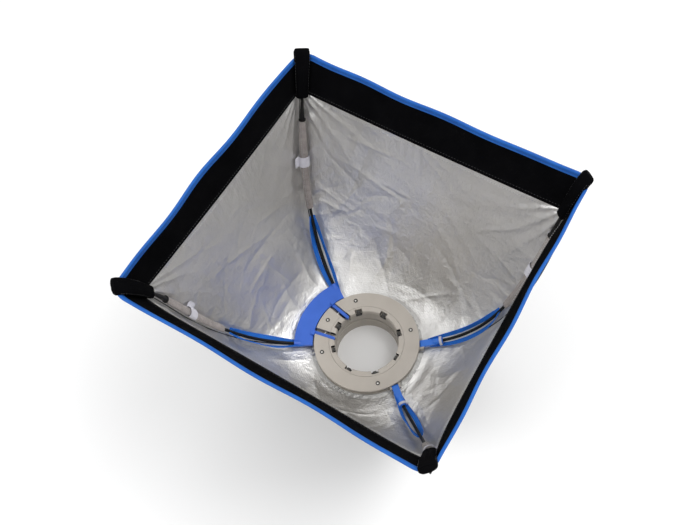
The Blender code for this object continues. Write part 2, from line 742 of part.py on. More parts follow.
def make_yoke(builder, yoke_hinge):
    plate = outline_plate(builder, "release_yoke", [yoke_outline()], YOKE_THICKNESS, "blue")
    plate.location = (0.0, 0.0, YOKE_BOTTOM + YOKE_THICKNESS / 2)
    bpy.context.view_layer.update()
    yoke = to_mesh_object(builder, plate)
    union, bore = make_sockets(builder, "yoke", [CORNERS["front_left"], CORNERS["front_right"]], YOKE_SOCKET)
    boolean(yoke, union, "UNION")
    bm = bmesh.new()
    pin = Matrix.Translation((0.0, HINGE_Y, HINGE_Z)) @ Matrix.Rotation(math.pi / 2, 4, "Y")
    add_cylinder(bm, PIN_HOLE_RADIUS, YOKE_PIN_HOLE_LENGTH, pin)
    boolean(yoke, bore)
    boolean(yoke, builder.add_cutter("yoke_pin_cutter", mesh_from_bmesh("yoke_pin_cutter", bm)))
    follow(yoke, yoke_hinge)
    for side, word in ((-1, "left"), (1, "right")):
        tube(builder, f"yoke_pin_{word}", pin_ends(side), PIN_RADIUS, "metal", 3)


def make_lever(builder, side, word, hinge):
    half = LEVER_HALF_THICKNESS
    bar = [(half * math.cos(a), half * math.sin(a)) for a in spread(math.pi / 2, 3 * math.pi / 2, 9)]
    nose = LEVER_LENGTH + LEVER_NOSE
    bar += [(LEVER_LENGTH, -half), (nose, -half / 2), (nose, half / 2), (LEVER_LENGTH, half)]
    around = spread(0, 2 * math.pi, 13)[:-1]
    hole = [(PIN_HOLE_RADIUS * math.cos(a), PIN_HOLE_RADIUS * math.sin(a)) for a in around]
    plate = outline_plate(builder, f"rod_lever_{word}", [bar, hole], LEVER_WIDTH, "blue")
    plate.matrix_world = lever_frame(side) @ Matrix.Rotation(math.pi / 2, 4, "X")
    bpy.context.view_layer.update()
    lever = to_mesh_object(builder, plate)
    sign = (side, 1)
    union, bore = make_sockets(builder, f"lever_{word}", [sign], LEVER_SOCKET)
    boolean(lever, union, "UNION")
    boolean(lever, bore)
    follow(lever, hinge)

    start, direction = rod_start(sign)
    profile = flat_ring(LEVER_COLLAR_RADII, (-LEVER_COLLAR_HALF, LEVER_COLLAR_HALF))
    ring = turned(builder, f"lever_collar_{word}", profile, "white", steps=20)
    ring.matrix_world = axis_matrix(start + direction * SOCKET_BORE_MIDDLE, direction)
    follow(ring, hinge)

    across = lever_frame(side).to_3x3() @ Vector((0, 1, 0))
    pivot = lever_frame(side).translation
    reach = across * LEVER_PIN_REACH
    tube(builder, f"lever_pin_{word}", [pivot - reach, pivot + reach], PIN_RADIUS, "metal", 3)


# Rods and what they carry

def loop_outline():
    """A webbing loop round a sleeve, with a tab towards the corner seam."""
    half_width = SLEEVE_HALF_WIDTH + LOOP_ROOM
    half_depth = SLEEVE_HALF_DEPTH + LOOP_ROOM
    around = spread(-math.pi * 1.35, math.pi * 0.35, 17)
    outer = [(half_width * math.cos(a), half_depth * math.sin(a)) for a in around]
    tab_end = half_depth + LOOP_TAB
    outer += [(LOOP_TAB_HALF_WIDTH, tab_end), (-LOOP_TAB_HALF_WIDTH, tab_end)]
    hole = [((SLEEVE_HALF_WIDTH + LOOP_FIT) * math.cos(a), (SLEEVE_HALF_DEPTH + LOOP_FIT) * math.sin(a))
            for a in spread(0, 2 * math.pi, 17)[:-1]]
    return [outer, hole]


def make_rod_set(builder, corner, hinge):
    sign = CORNERS[corner]
    outward = Vector((sign[0], sign[1], 0.0)).normalized()
    across = Vector((sign[0], -sign[1], 0.0)).normalized()
    start, direction = rod_start(sign)

    path = rod_path(ROD_CURVE[0][2] + ROD_START, ROD_TOP, 18, sign)
    rod = tube(builder, f"rod_{corner}", path, ROD_RADIUS, "black_rod", 2)

    tip_path = rod_path(*TIP_RANGE, 8, sign)
    tip = flat_sleeve(builder, f"rod_tip_{corner}", tip_path, TIP_RADIUS, TIP_RADIUS, TIP_WALL, across, 10,
                      "black_rod", closed_top=True)

    sleeve_path = rod_path(*SLEEVE_RANGE, 8, sign)
    sleeve = flat_sleeve(builder, f"rod_sleeve_{corner}", sleeve_path, SLEEVE_HALF_WIDTH,
                         SLEEVE_HALF_DEPTH, SLEEVE_WALL, across, 10, "grey_webbing")

    pocket_path = rod_path(*POCKET_RANGE, 7, sign)
    pocket = flat_sleeve(builder, f"corner_pocket_{corner}", pocket_path, POCKET_HALF_WIDTH,
                         POCKET_HALF_DEPTH, POCKET_WALL, across, 12, "black_fabric", closed_top=True)

    low, middle, high = rod_path(LOOP_HEIGHT - 0.004, LOOP_HEIGHT + 0.004, 3, sign)
    tangent = (high - low).normalized()
    wide = (across - tangent * across.dot(tangent)).normalized()
    deep = tangent.cross(wide)
    if deep.dot(outward) < 0:
        wide, deep = -wide, -deep
    loop = outline_plate(builder, f"loop_tab_{corner}", loop_outline(), LOOP_WEBBING, "white")
    loop.matrix_world = Matrix.Translation(middle) @ Matrix((wide, deep, tangent)).transposed().to_4x4()

    slit = slit_path(sign, across)
    binding = tube(builder, f"slit_binding_{corner}", slit, SLIT_TAPE_RADIUS, "blue_fabric", 1)
    for obj in (rod, tip, sleeve, pocket, loop, binding):
        follow(obj, hinge)


def slit_path(sign, across):
    """A hairpin that runs up one side of the rod and down the other, where the seam is open."""
    spine = rod_path(*SLIT_RANGE, 8, sign)
    left = [p + across * SLIT_HALF_WIDTH for p in spine]
    right = [p - across * SLIT_HALF_WIDTH for p in spine]
    rise = (spine[-1] - spine[-2]).normalized()
    outward = Vector((sign[0], sign[1], 0.0)).normalized()
    turn = []
    for angle in spread(math.radians(30), math.radians(150), 4):
        side = across * (SLIT_HALF_WIDTH * math.cos(angle))
        lift = rise * (SLIT_HALF_WIDTH * math.sin(angle)) + outward * (SLIT_BULGE * math.sin(angle))
        turn.append(spine[-1] + side + lift)
    return left + turn + right[::-1]


# Fabric

def make_fabric(builder, yoke_hinge):
    low, high = WALL_RANGE
    wall_rows = [low + (high - low) * t ** 1.7 for t in spread(0.0, 1.0, 9)]
    band_rows = spread(*BAND_RANGE, 3)
    walls = {
        "front": (end_wall_point, end_band_point, (1, -1)),
        "back": (end_wall_point, end_band_point, (1, 1)),
        "left": (side_wall_point, side_band_point, (-1, 1)),
        "right": (side_wall_point, side_band_point, (1, 1)),
    }
    for word, (wall_point, band_point, sign) in walls.items():
        along_x = word in ("front", "back")
        inward = (sign[0] * sign[1] > 0) == along_x
        wall_columns = spread(-WALL_SPAN, WALL_SPAN, 11)
        wall = sheet(builder, f"wall_{word}", wall_point, wall_columns, wall_rows, sign, "lining", inward)
        band_columns = spread(-BAND_SPAN, BAND_SPAN, 7)
        band = sheet(builder, f"lip_band_{word}", band_point, band_columns, band_rows, sign,
                     "black_fabric", inward)
        rim = [band_point(u, 1.0) for u in spread(-BAND_SPAN, BAND_SPAN, 5)]
        lift = Vector((0.0, 0.0, BINDING_LIFT))
        path = [Vector((sign[0] * p.x, sign[1] * p.y, p.z)) + lift for p in rim]
        binding = tube(builder, f"rim_binding_{word}", path, BINDING_RADIUS, "blue_fabric", 2)
        if word == "front":
            for obj in (wall, band, binding):
                follow(obj, yoke_hinge)


# Joints

def joint_empty(builder, name, location):
    empty = bpy.data.objects.new(name, None)
    builder.parts.objects.link(empty)
    empty.location = location
    empty.empty_display_size = 0.02
    bpy.context.view_layer.update()
    return empty


def follow(obj, empty):
    obj.parent = empty
    obj.matrix_parent_inverse = empty.matrix_world.inverted()


def main():
    clear_scene()
    builder = Builder()
    mount_axis = joint_empty(builder, "mount_axis", (0.0, 0.0, 0.0))
    yoke_hinge = joint_empty(builder, "yoke_hinge", (0.0, HINGE_Y, HINGE_Z))
    lever_hinges = {
        side: joint_empty(builder, f"lever_hinge_{word}", lever_frame(side).translation)
        for side, word in ((-1, "left"), (1, "right"))
    }
    prong_region = make_prong_region(builder, "prong_region", SLOT_OUTSIDE)
    bridge_region = make_prong_region(builder, "bridge_region", -SLOT_INSIDE)
    finger_cutter = make_finger_cutter(builder)
    screw_holes = make_screw_hole_cutter(builder)
    window_cutter = make_window_cutter(builder)
    make_top_plate(builder, prong_region, screw_holes)
    make_bore_liner(builder, prong_region, window_cutter)
    make_plate_bridge(builder, bridge_region, screw_holes, window_cutter)
    make_housing(builder, prong_region, finger_cutter)
    make_mount_parts(builder, mount_axis)
    make_fabric_clamp(builder)
    make_plate_screws(builder)
    make_yoke(builder, yoke_hinge)
    make_lever(builder, -1, "left", lever_hinges[-1])
    make_lever(builder, 1, "right", lever_hinges[1])
    for corner, sign in CORNERS.items():
        hinge = yoke_hinge if sign[1] < 0 else lever_hinges[sign[0]]
        make_rod_set(builder, corner, hinge)
    make_fabric(builder, yoke_hinge)


main()
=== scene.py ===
"""Looks of the square softbox: lining, shell, bindings, pockets, sleeves and the finish of every part."""
import math

import bpy
import numpy as np
from mathutils import Matrix, Vector
from mathutils.bvhtree import BVHTree


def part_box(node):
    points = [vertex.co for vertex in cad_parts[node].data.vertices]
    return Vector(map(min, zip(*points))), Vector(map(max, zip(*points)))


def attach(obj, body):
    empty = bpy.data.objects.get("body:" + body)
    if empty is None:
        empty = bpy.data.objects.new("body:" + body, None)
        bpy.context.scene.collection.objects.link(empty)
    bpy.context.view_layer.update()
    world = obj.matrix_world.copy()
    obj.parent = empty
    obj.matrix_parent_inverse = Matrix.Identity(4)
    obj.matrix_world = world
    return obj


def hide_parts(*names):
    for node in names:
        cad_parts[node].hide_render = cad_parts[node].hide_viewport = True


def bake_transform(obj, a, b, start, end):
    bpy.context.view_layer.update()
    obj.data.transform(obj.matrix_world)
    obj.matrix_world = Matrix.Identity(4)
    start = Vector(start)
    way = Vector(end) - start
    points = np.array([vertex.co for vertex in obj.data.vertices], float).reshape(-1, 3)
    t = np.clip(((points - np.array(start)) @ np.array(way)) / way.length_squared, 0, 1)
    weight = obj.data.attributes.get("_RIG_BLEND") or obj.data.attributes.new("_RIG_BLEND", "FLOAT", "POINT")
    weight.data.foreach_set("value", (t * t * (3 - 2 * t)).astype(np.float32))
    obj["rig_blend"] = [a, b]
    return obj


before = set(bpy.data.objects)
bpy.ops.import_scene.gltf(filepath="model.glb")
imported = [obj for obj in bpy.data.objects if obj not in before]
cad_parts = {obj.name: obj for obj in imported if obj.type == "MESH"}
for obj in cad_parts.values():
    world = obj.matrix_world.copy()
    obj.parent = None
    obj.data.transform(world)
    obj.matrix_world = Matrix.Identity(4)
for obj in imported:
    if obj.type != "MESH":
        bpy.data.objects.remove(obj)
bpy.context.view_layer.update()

# Places, all taken from the frame

back_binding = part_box("rim_binding_back")
plate_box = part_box("top_plate")
collar_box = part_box("back_collar")
yoke_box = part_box("release_yoke")

BINDING_THICK = (back_binding[1].z - back_binding[0].z) / 2
HALF = back_binding[1].y - BINDING_THICK
RIM_Z = (back_binding[0].z + back_binding[1].z) / 2
RING_RADIUS = plate_box[1].x
PLATE_TOP = plate_box[1].z
BORE_RADIUS = 0.608 * RING_RADIUS
ROOT_PAD_RADIUS = 1.038 * RING_RADIUS
ROOT_PAD_ANGLE = math.radians(20.3)

# Curves from the ring to the mouth in the (+X, +Y) corner, in half sides of the mouth
ROD = ((0.268, 0.448, 0.233), (0.645, 1.005, 0.396), (0.719, 0.862, 1.622), (0.952, 0.961, 1.945))
SEAM = ((0.198, 0.364, 0.166), (0.691, 1.097, 0.240), (0.751, 0.917, 1.521), (0.880, 0.972, 1.687))
END_MIDDLE = ((0.0, 0.415, 0.166), (0.0, 0.903, 0.230), (0.0, 0.894, 1.152), (0.0, 0.963, 1.687))
SIDE_MIDDLE = ((0.415, 0.0, 0.166), (0.728, 0.0, 0.230), (0.811, 0.0, 1.152), (0.871, 0.0, 1.687))
END_ARC = math.radians(28.6)
SIDE_ARC = math.radians(61.4)
RIM_CORNER = np.array((0.982, 0.988, RIM_Z / HALF)) * HALF
CORNER_START = 0.90
BINDING_END = 0.958
LOOP_HALF_HEIGHT = 0.0096
POCKET_RISE = 0.0075
TAPE_HALF_WIDTH = 0.0036
TAPE_LEAD = 0.022
COLLAR_GATHER = 0.0009
TIP_RISE = 0.006
SLEEVE_DROP = 0.005
TAPE_TRIM = {"back_right": 0.030}

CORNERS = {
    "front_left": (-1, -1),
    "front_right": (1, -1),
    "back_left": (-1, 1),
    "back_right": (1, 1),
}
SIDE_WALLS = ("left", "right")
CORNER_BODY = {
    "front_left": "yoke",
    "front_right": "yoke",
    "back_left": "rod_left",
    "back_right": "rod_right",
}


# Number helpers

def smooth(low, high, x):
    t = np.clip((x - low) / (high - low), 0.0, 1.0)
    return t * t * (3 - 2 * t)


def bezier(points, t):
    a, b, c, d = (np.array(point, float) * HALF for point in points)
    t = np.asarray(t, float)[..., None]
    s = 1 - t
    return a * s ** 3 + b * (3 * s * s * t) + c * (3 * s * t * t) + d * t ** 3


def lattice_noise(x, y, seed):
    """Smooth noise between -1 and 1 over a plane; the same seed gives the same noise."""
    table = np.random.RandomState(seed).rand(128, 128) * 2 - 1
    column = np.floor(x).astype(int)
    row = np.floor(y).astype(int)
    fx = x - column
    fy = y - row
    fx = fx * fx * (3 - 2 * fx)
    fy = fy * fy * (3 - 2 * fy)

    def at(i, j):
        return table[(column + i) % 128, (row + j) % 128]

    low = at(0, 0) * (1 - fx) + at(1, 0) * fx
    high = at(0, 1) * (1 - fx) + at(1, 1) * fx
    return low * (1 - fy) + high * fy


def layered_noise(x, y, seed, octaves=3):
    total = 0.0
    for octave in range(octaves):
        total = total + lattice_noise(x * 2 ** octave, y * 2 ** octave, seed + octave) / 2 ** octave
    return total / (2 - 2 ** (1 - octaves))


def unit(vectors):
    return vectors / np.maximum(np.linalg.norm(vectors, axis=-1, keepdims=True), 1e-12)


def steady(vector, count):
    """The same axis at every point of a short path."""
    return np.repeat(np.asarray(vector)[None], count, 0)


def spokes(angle):
    """The outward and the sideways direction at an angle round the ring, measured from -Y towards +X."""
    outward = np.array((math.sin(angle), -math.cos(angle), 0.0))
    sideways = np.array((math.cos(angle), math.sin(angle), 0.0))
    return outward, sideways


def lengths_along(path):
    """The distance from the start of a path to each of its points."""
    return np.concatenate([[0.0], np.cumsum(np.linalg.norm(np.diff(path, axis=0), axis=1))])


def hang_out(points):
    """The back of the mouth stands a little further out than a true square, most at its right corner."""
    x, y, z = points.T
    reach = smooth(0.15, 0.40, z) * smooth(0.0, 0.20, y) * (0.0095 + 0.0125 * x)
    return points + np.stack([np.zeros_like(x), reach, np.zeros_like(x)], -1)


def corner_sign(corner):
    return np.array((*CORNERS[corner], 1.0))


# Mesh building: pieces are collected as arrays, then written as one mesh

class Bank:
    """Collects grids, sweeps and stitches of one piece, with materials, UVs in metres and blend weights."""

    def __init__(self):
        self.points = []
        self.weights = []
        self.uvs = []
        self.faces = []
        self.materials = []
        self.count = 0

    def add_points(self, points, uv, weight):
        points = np.asarray(points, float).reshape(-1, 3)
        self.points.append(points)
        self.uvs.append(np.broadcast_to(np.asarray(uv, float), (len(points), 2)))
        self.weights.append(np.broadcast_to(np.asarray(weight, float).reshape(-1), (len(points),)))
        start = self.count
        self.count += len(points)
        return start

    def add_faces(self, faces, material):
        self.faces.extend(faces)
        self.materials.extend([material] * len(faces))

    def add_grid(self, grid, material, uv, weight=0.0, wrap=False, flip=False):
        """Faces over an (m, n, 3) grid; wrap closes it along its second direction."""
        m, n = grid.shape[:2]
        start = self.add_points(grid, uv.reshape(-1, 2), np.broadcast_to(weight, (m, n)))
        i, j = np.meshgrid(np.arange(m - 1), np.arange(n if wrap else n - 1), indexing="ij")
        k = (j + 1) % n
        quads = np.stack([i * n + j, i * n + k, (i + 1) * n + k, (i + 1) * n + j], -1).reshape(-1, 4) + start
        if flip:
            quads = quads[:, ::-1]
        self.add_faces([tuple(q) for q in quads.tolist()], material)
        return start

    def add_slab(self, grid, inward, thickness, materials, uv, weight=0.0):
        """A closed sheet: an inner and an outer layer with a rim. materials is (inner, outer)."""
        m, n = grid.shape[:2]
        weight = np.broadcast_to(weight, (m, n))
        face = np.cross(grid[0, 1] - grid[0, 0], grid[1, 0] - grid[0, 0])
        flip = float(face @ inward[0, 0]) < 0
        inner = self.add_grid(grid + inward * thickness / 2, materials[0], uv, weight, flip=flip)
        outer = self.add_grid(grid - inward * thickness / 2, materials[1], uv, weight, flip=not flip)
        edge = [i * n for i in range(m)] + [(m - 1) * n + j for j in range(1, n)]
        edge += [i * n + n - 1 for i in range(m - 2, -1, -1)] + [j for j in range(n - 2, 0, -1)]
        rim = []
        for a, b in zip(edge, edge[1:] + edge[:1]):
            quad = (inner + a, inner + b, outer + b, outer + a)
            rim.append(quad[::-1] if not flip else quad)
        self.add_faces(rim, materials[1])

    def add_sweep(self, path, first, second, profile, material, weight=0.0, scale=None):
        """A closed profile carried along a path; first and second are its axes at each path point."""
        path = np.asarray(path, float)
        m = len(path)
        profile = np.asarray(profile, float)
        if profile.ndim == 2:
            profile = np.broadcast_to(profile, (m, *profile.shape))
        if scale is not None:
            profile = profile * np.asarray(scale, float)[:, None, None]
        n = profile.shape[1]
        grid = path[:, None, :] + profile[..., 0:1] * first[:, None, :]
        grid = grid + profile[..., 1:2] * second[:, None, :]
        uv = np.stack(np.meshgrid(lengths_along(path), lengths_along(profile[0]), indexing="ij"), -1)
        weight = np.broadcast_to(np.asarray(weight, float).reshape(-1, 1), (m, n))
        x, y = profile[0].T
        area = np.sum(x * np.roll(y, -1) - np.roll(x, -1) * y)
        handed = float(np.cross(first[0], second[0]) @ (path[min(1, m - 1)] - path[0])) * area
        flip = handed < 0
        start = self.add_grid(grid, material, uv, weight, wrap=True, flip=flip)
        self.add_caps(start, m, n, flip, material)

    def add_caps(self, start, rows, columns, flip, material):
        """Close both ends of a wrapped grid that starts at a point."""
        low = [start + j for j in range(columns)]
        high = [start + (rows - 1) * columns + j for j in range(columns)]
        self.add_faces([tuple(low if flip else low[::-1]), tuple(high[::-1] if flip else high)], material)

    def add_stitches(self, path, side, out, material, weight=None, length=0.0026, pitch=0.0042,
                     radius=0.00028):
        """A row of short threads on a surface; side runs across the row and out away from the surface."""
        path = np.asarray(path, float)
        steps = lengths_along(path)
        count = int(steps[-1] / pitch)
        if weight is None:
            weight = np.zeros(len(path))
        centres = (np.arange(count) + 0.5) * pitch

        def at(values, s):
            return np.stack([np.interp(s, steps, values[:, k]) for k in range(3)], -1)

        here = at(path, centres)
        along = unit(at(path, centres + length / 4) - at(path, centres - length / 4))
        across = unit(at(side, centres))
        above = unit(at(out, centres))
        pull = np.interp(centres, steps, weight)
        shape = ((-0.5, 0.15), (-0.35, 0.8), (0.0, 1.0), (0.35, 0.8), (0.5, 0.15))
        ring = [(math.cos(a), math.sin(a)) for a in np.linspace(0, 2 * math.pi, 6)[:-1]]
        for c in range(count):
            rows = []
            for reach, girth in shape:
                centre = here[c] + along[c] * reach * length + above[c] * radius * girth * 0.5
                reach_out = radius * girth
                rows.append([centre + (across[c] * x + above[c] * y) * reach_out for x, y in ring])
            grid = np.array(rows)
            uv = np.zeros((*grid.shape[:2], 2))
            handed = float(np.cross(across[c], above[c]) @ along[c]) < 0
            start = self.add_grid(grid, material, uv, pull[c], wrap=True, flip=handed)
            self.add_caps(start, len(shape), len(ring), handed, material)

    def build(self, name, materials, body=None, blend=None, replaces=(), sharp=40):
        """Make the object and tie it to its body, or to two bodies with the collected weights."""
        points = hang_out(np.concatenate(self.points))
        mesh = bpy.data.meshes.new(name)
        mesh.from_pydata(points.tolist(), [], self.faces)
        for material in materials:
            mesh.materials.append(material)
        mesh.polygons.foreach_set("material_index", self.materials)
        mesh.polygons.foreach_set("use_smooth", [True] * len(self.faces))
        loops = np.zeros(len(mesh.loops), np.int64)
        mesh.loops.foreach_get("vertex_index", loops)
        layer = mesh.uv_layers.new(name="UVMap")
        layer.data.foreach_set("uv", np.concatenate(self.uvs)[loops].astype(np.float32).ravel())
        mesh.update()
        mesh.set_sharp_from_angle(angle=math.radians(sharp))
        obj = bpy.data.objects.new(name, mesh)
        bpy.context.scene.collection.objects.link(obj)
        if blend:
            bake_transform(obj, blend[0], blend[1], start=(0, 0, 0), end=(0, 0, 1))
            weights = np.concatenate(self.weights).astype(np.float32)
            mesh.attributes["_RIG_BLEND"].data.foreach_set("value", weights)
        else:
            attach(obj, body)
        if replaces:
            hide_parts(*replaces)
        return obj


# Materials

WAVE_RATE = 20.0


class Look:
    """A small wrapper for building one node material."""

    def __init__(self, name):
        self.material = bpy.data.materials.new(name)
        self.material.use_nodes = True
        self.nodes = self.material.node_tree.nodes
        self.links = self.material.node_tree.links
        self.shader = self.nodes["Principled BSDF"]

    def plug(self, inputs, values):
        """Link or set each of a node's inputs."""
        for key, value in values:
            if isinstance(value, bpy.types.NodeSocket):
                self.links.new(value, inputs[key])
            else:
                inputs[key].default_value = value

    def node(self, kind, inputs=None, **settings):
        made = self.nodes.new(kind)
        for key, value in settings.items():
            setattr(made, key, value)
        self.plug(made.inputs, (inputs or {}).items())
        return made

    def set(self, **values):
        self.plug(self.shader.inputs, ((key.replace("_", " "), value) for key, value in values.items()))

    def coords(self, kind="Object"):
        return self.node("ShaderNodeTexCoord").outputs[kind]

    def scaled(self, source, scale):
        mapped = self.node("ShaderNodeMapping", {"Vector": source, "Scale": scale})
        return mapped.outputs["Vector"]

    def noise(self, vector, scale, detail=3.0, roughness=0.5):
        inputs = {"Vector": vector, "Scale": scale, "Detail": detail, "Roughness": roughness}
        made = self.node("ShaderNodeTexNoise", inputs)
        return made.outputs["Fac"]

    def ramp(self, factor, stops):
        made = self.node("ShaderNodeValToRGB", {"Fac": factor})
        elements = made.color_ramp.elements
        while len(elements) < len(stops):
            elements.new(0.5)
        for element, (position, color) in zip(elements, stops):
            element.position = position
            element.color = (*color, 1.0)
        return made.outputs["Color"]

    def value(self, factor, low, high):
        made = self.node("ShaderNodeMapRange", {"Value": factor, "To Min": low, "To Max": high})
        return made.outputs["Result"]

    def math(self, operation, a, b=0.0):
        made = self.node("ShaderNodeMath", operation=operation)
        self.plug(made.inputs, enumerate((a, b)))
        return made.outputs[0]

    def threads(self, vector, pitch, direction="X"):
        """Parallel bands, one for each pitch along the direction."""
        scale = 2 * math.pi / WAVE_RATE / pitch
        made = self.node("ShaderNodeTexWave", {"Vector": vector, "Scale": scale}, bands_direction=direction)
        return made.outputs["Fac"]

    def bump(self, height, strength, distance, normal=None):
        inputs = {"Height": height, "Strength": strength, "Distance": distance}
        if normal is not None:
            inputs["Normal"] = normal
        return self.node("ShaderNodeBump", inputs).outputs["Normal"]

    def weave(self, pitch):
        """Plain weave height from the UVs: two crossed sets of threads, pitch apart."""
        vector = self.coords("UV")
        return self.math("MULTIPLY", self.threads(vector, pitch, "X"), self.threads(vector, pitch, "Y"))


def foil_look(name, dark, light):
    """Silver-coated ripstop: soft crinkles, a fine grid of thicker threads and slow changes of tone."""
    look = Look(name)
    uv = look.coords("UV")
    place = look.coords("Object")
    crinkle = look.noise(place, 70.0, 6.0, 0.6)
    fine = look.noise(look.scaled(place, (1.0, 1.0, 0.4)), 260.0, 4.0, 0.6)
    grid = look.math("ADD", look.threads(uv, 0.0034, "X"), look.threads(uv, 0.0034, "Y"))
    first = look.bump(crinkle, 0.42, 0.004)
    second = look.bump(fine, 0.50, 0.0016, first)
    third = look.bump(grid, 0.20, 0.0003, second)
    tint = look.ramp(look.noise(place, 9.0, 5.0), ((0.28, dark), (0.72, light)))
    look.set(Base_Color=tint, Metallic=0.90, Roughness=look.value(fine, 0.28, 0.46), Normal=third)
    return look.material


def nylon_look():
    look = Look("black_nylon")
    weave = look.weave(0.0008)
    soft = look.noise(look.coords("Object"), 60.0, 5.0)
    tint = look.ramp(soft, ((0.2, (0.004, 0.004, 0.005)), (0.8, (0.008, 0.008, 0.009))))
    normal = look.bump(weave, 0.35, 0.0003, look.bump(soft, 0.25, 0.002))
    look.set(Base_Color=tint, Roughness=0.5, Normal=normal, Specular_IOR_Level=0.14)
    return look.material


def loop_fabric_look():
    """Brushed loop pile: almost no gloss, with faint ribs."""
    look = Look("black_loop_fabric")
    place = look.coords("Object")
    fuzz = look.noise(place, 1200.0, 2.0)
    soft = look.noise(place, 35.0, 4.0)
    ribs = look.threads(look.coords("UV"), 0.0021, "Y")
    tint = look.ramp(soft, ((0.2, (0.0012, 0.0012, 0.0016)), (0.8, (0.0030, 0.0030, 0.0036))))
    normal = look.bump(fuzz, 0.6, 0.0006, look.bump(ribs, 0.25, 0.0005))
    look.set(Base_Color=tint, Roughness=0.95, Normal=normal, Specular_IOR_Level=0.035)
    return look.material


def binding_look(name, dark, light):
    look = Look(name)
    weave = look.weave(0.0009)
    soft = look.noise(look.coords("Object"), 45.0, 4.0)
    tint = look.ramp(soft, ((0.25, dark), (0.75, light)))
    normal = look.bump(weave, 0.45, 0.0004)
    look.set(Base_Color=tint, Roughness=0.6, Normal=normal, Specular_IOR_Level=0.25)
    return look.material


def thread_look(name, color):
    look = Look(name)
    twist = look.threads(look.coords("Object"), 0.0004, "DIAGONAL")
    look.set(Base_Color=(*color, 1.0), Roughness=0.55, Normal=look.bump(twist, 0.4, 0.0002), Sheen_Weight=0.3)
    return look.material


def coated_look(name, dark, light, roughness, gloss=0.5):
    """Powder-coated or moulded surface with a fine grain and soft wear in its colour."""
    look = Look(name)
    place = look.coords("Object")
    grain = look.noise(place, 1600.0, 2.0)
    soft = look.noise(place, 28.0, 4.0)
    tint = look.ramp(soft, ((0.3, dark), (0.7, light)))
    rough = look.value(soft, roughness - 0.05, roughness + 0.06)
    look.set(Base_Color=tint, Roughness=rough, Specular_IOR_Level=gloss)
    look.set(Normal=look.bump(grain, 0.18, 0.0003))
    return look.material


def metal_look(name, color, roughness):
    look = Look(name)
    brushed = look.noise(look.scaled(look.coords("Object"), (1.0, 1.0, 14.0)), 420.0, 3.0)
    normal = look.bump(brushed, 0.12, 0.0002)
    rough = look.value(brushed, roughness, roughness + 0.15)
    look.set(Base_Color=(*color, 1.0), Metallic=1.0, Roughness=rough, Normal=normal)
    return look.material


def webbing_look(name, dark, light, pitch):
    look = Look(name)
    weave = look.weave(pitch)
    soft = look.noise(look.coords("Object"), 120.0, 4.0)
    tint = look.ramp(look.math("ADD", look.math("MULTIPLY", weave, 0.5), look.math("MULTIPLY", soft, 0.5)),
                     ((0.2, dark), (0.7, light)))
    look.set(Base_Color=tint, Roughness=0.7, Normal=look.bump(weave, 0.6, 0.0006), Sheen_Weight=0.3)
    return look.material


FOIL = foil_look("silver_lining", (0.70, 0.692, 0.675), (0.83, 0.82, 0.805))
# The collar's foil is the lining darkened: painted shade round the plate's edge.
SHADED_COLLAR_FOIL = foil_look("collar_lining_painted_shade", (0.40, 0.395, 0.385), (0.52, 0.515, 0.50))
NYLON = nylon_look()
LOOP_FABRIC = loop_fabric_look()
BINDING = binding_look("blue_binding_tape", (0.008, 0.085, 0.36), (0.014, 0.125, 0.47))
SLIT_TAPE = binding_look("blue_slit_tape", (0.010, 0.13, 0.56), (0.018, 0.17, 0.68))
BLACK_THREAD = thread_look("black_thread", (0.02, 0.02, 0.022))
BLUE_THREAD = thread_look("blue_thread", (0.005, 0.045, 0.26))
GREY_THREAD = thread_look("grey_thread", (0.52, 0.52, 0.53))
PLATE = coated_look("warm_grey_plate", (0.52, 0.475, 0.42), (0.57, 0.525, 0.47), 0.45)
# The housing and the mount tube share the plate's warm grey, darkened as painted shade for the bore below the
# plate.
BORE_GREY_SHADED = coated_look("warm_grey_bore_painted_shade", (0.42, 0.385, 0.34), (0.46, 0.425, 0.38), 0.5)
BLACK_PLASTIC = coated_look("black_plastic", (0.008, 0.008, 0.008), (0.016, 0.016, 0.016), 0.45, 0.3)
BLUE_COAT = coated_look("blue_coat", (0.034, 0.135, 0.64), (0.048, 0.17, 0.74), 0.42)
# The levers' blue is lighter than the yoke's: painted light that lifts the shade the levers sit in.
LEVER_BLUE_LIFTED = coated_look("lever_blue_painted_light", (0.020, 0.17, 0.72), (0.03, 0.21, 0.82), 0.32)
RUBBER = coated_look("dark_rubber", (0.050, 0.048, 0.045), (0.080, 0.076, 0.070), 0.6)
BLACK_COAT = coated_look("black_rod_coat", (0.004, 0.004, 0.004), (0.009, 0.009, 0.009), 0.42, 0.2)
STEEL = metal_look("bright_steel", (0.80, 0.79, 0.76), 0.2)
DARK_STEEL = metal_look("dark_steel", (0.10, 0.095, 0.09), 0.3)
SLEEVE = webbing_look("grey_sleeve_weave", (0.19, 0.165, 0.155), (0.50, 0.445, 0.43), 0.0013)
WHITE = webbing_look("white_webbing", (0.60, 0.59, 0.66), (0.80, 0.79, 0.86), 0.0012)


# Fabric walls

def wall_axis(word):
    """The axis that a wall faces along: 0 for the side walls, 1 for the front and the back."""
    return 0 if word in SIDE_WALLS else 1


def arc_to_square(u, v, arc):
    span = (1 - v) * np.sin(arc * u) / math.sin(arc) + v * u
    rise = (1 - v) * (1 - np.cos(arc * u)) / (1 - math.cos(arc)) + v * u * u
    return span[..., None], rise[..., None]


RIM_WAVES = {
    "front": (0.0040, 0.0016, 7.5, 0.8, -0.0012),
    "left": (-0.0026, 0.0007, 9.0, 0.0, 0.0),
    "back": (-0.0010, 0.0012, 10.0, 1.0, 0.0),
    "right": (-0.0014, 0.0012, 8.0, 2.0, 0.0),
}


def rim_wave(word, u):
    """How far the rim leaves a straight line, outward positive: the binding is never quite straight."""
    shift, height, rate, phase, slope = RIM_WAVES[word]
    return (1 - u ** 4) * (shift + height * np.sin(rate * u + phase) + slope * u)


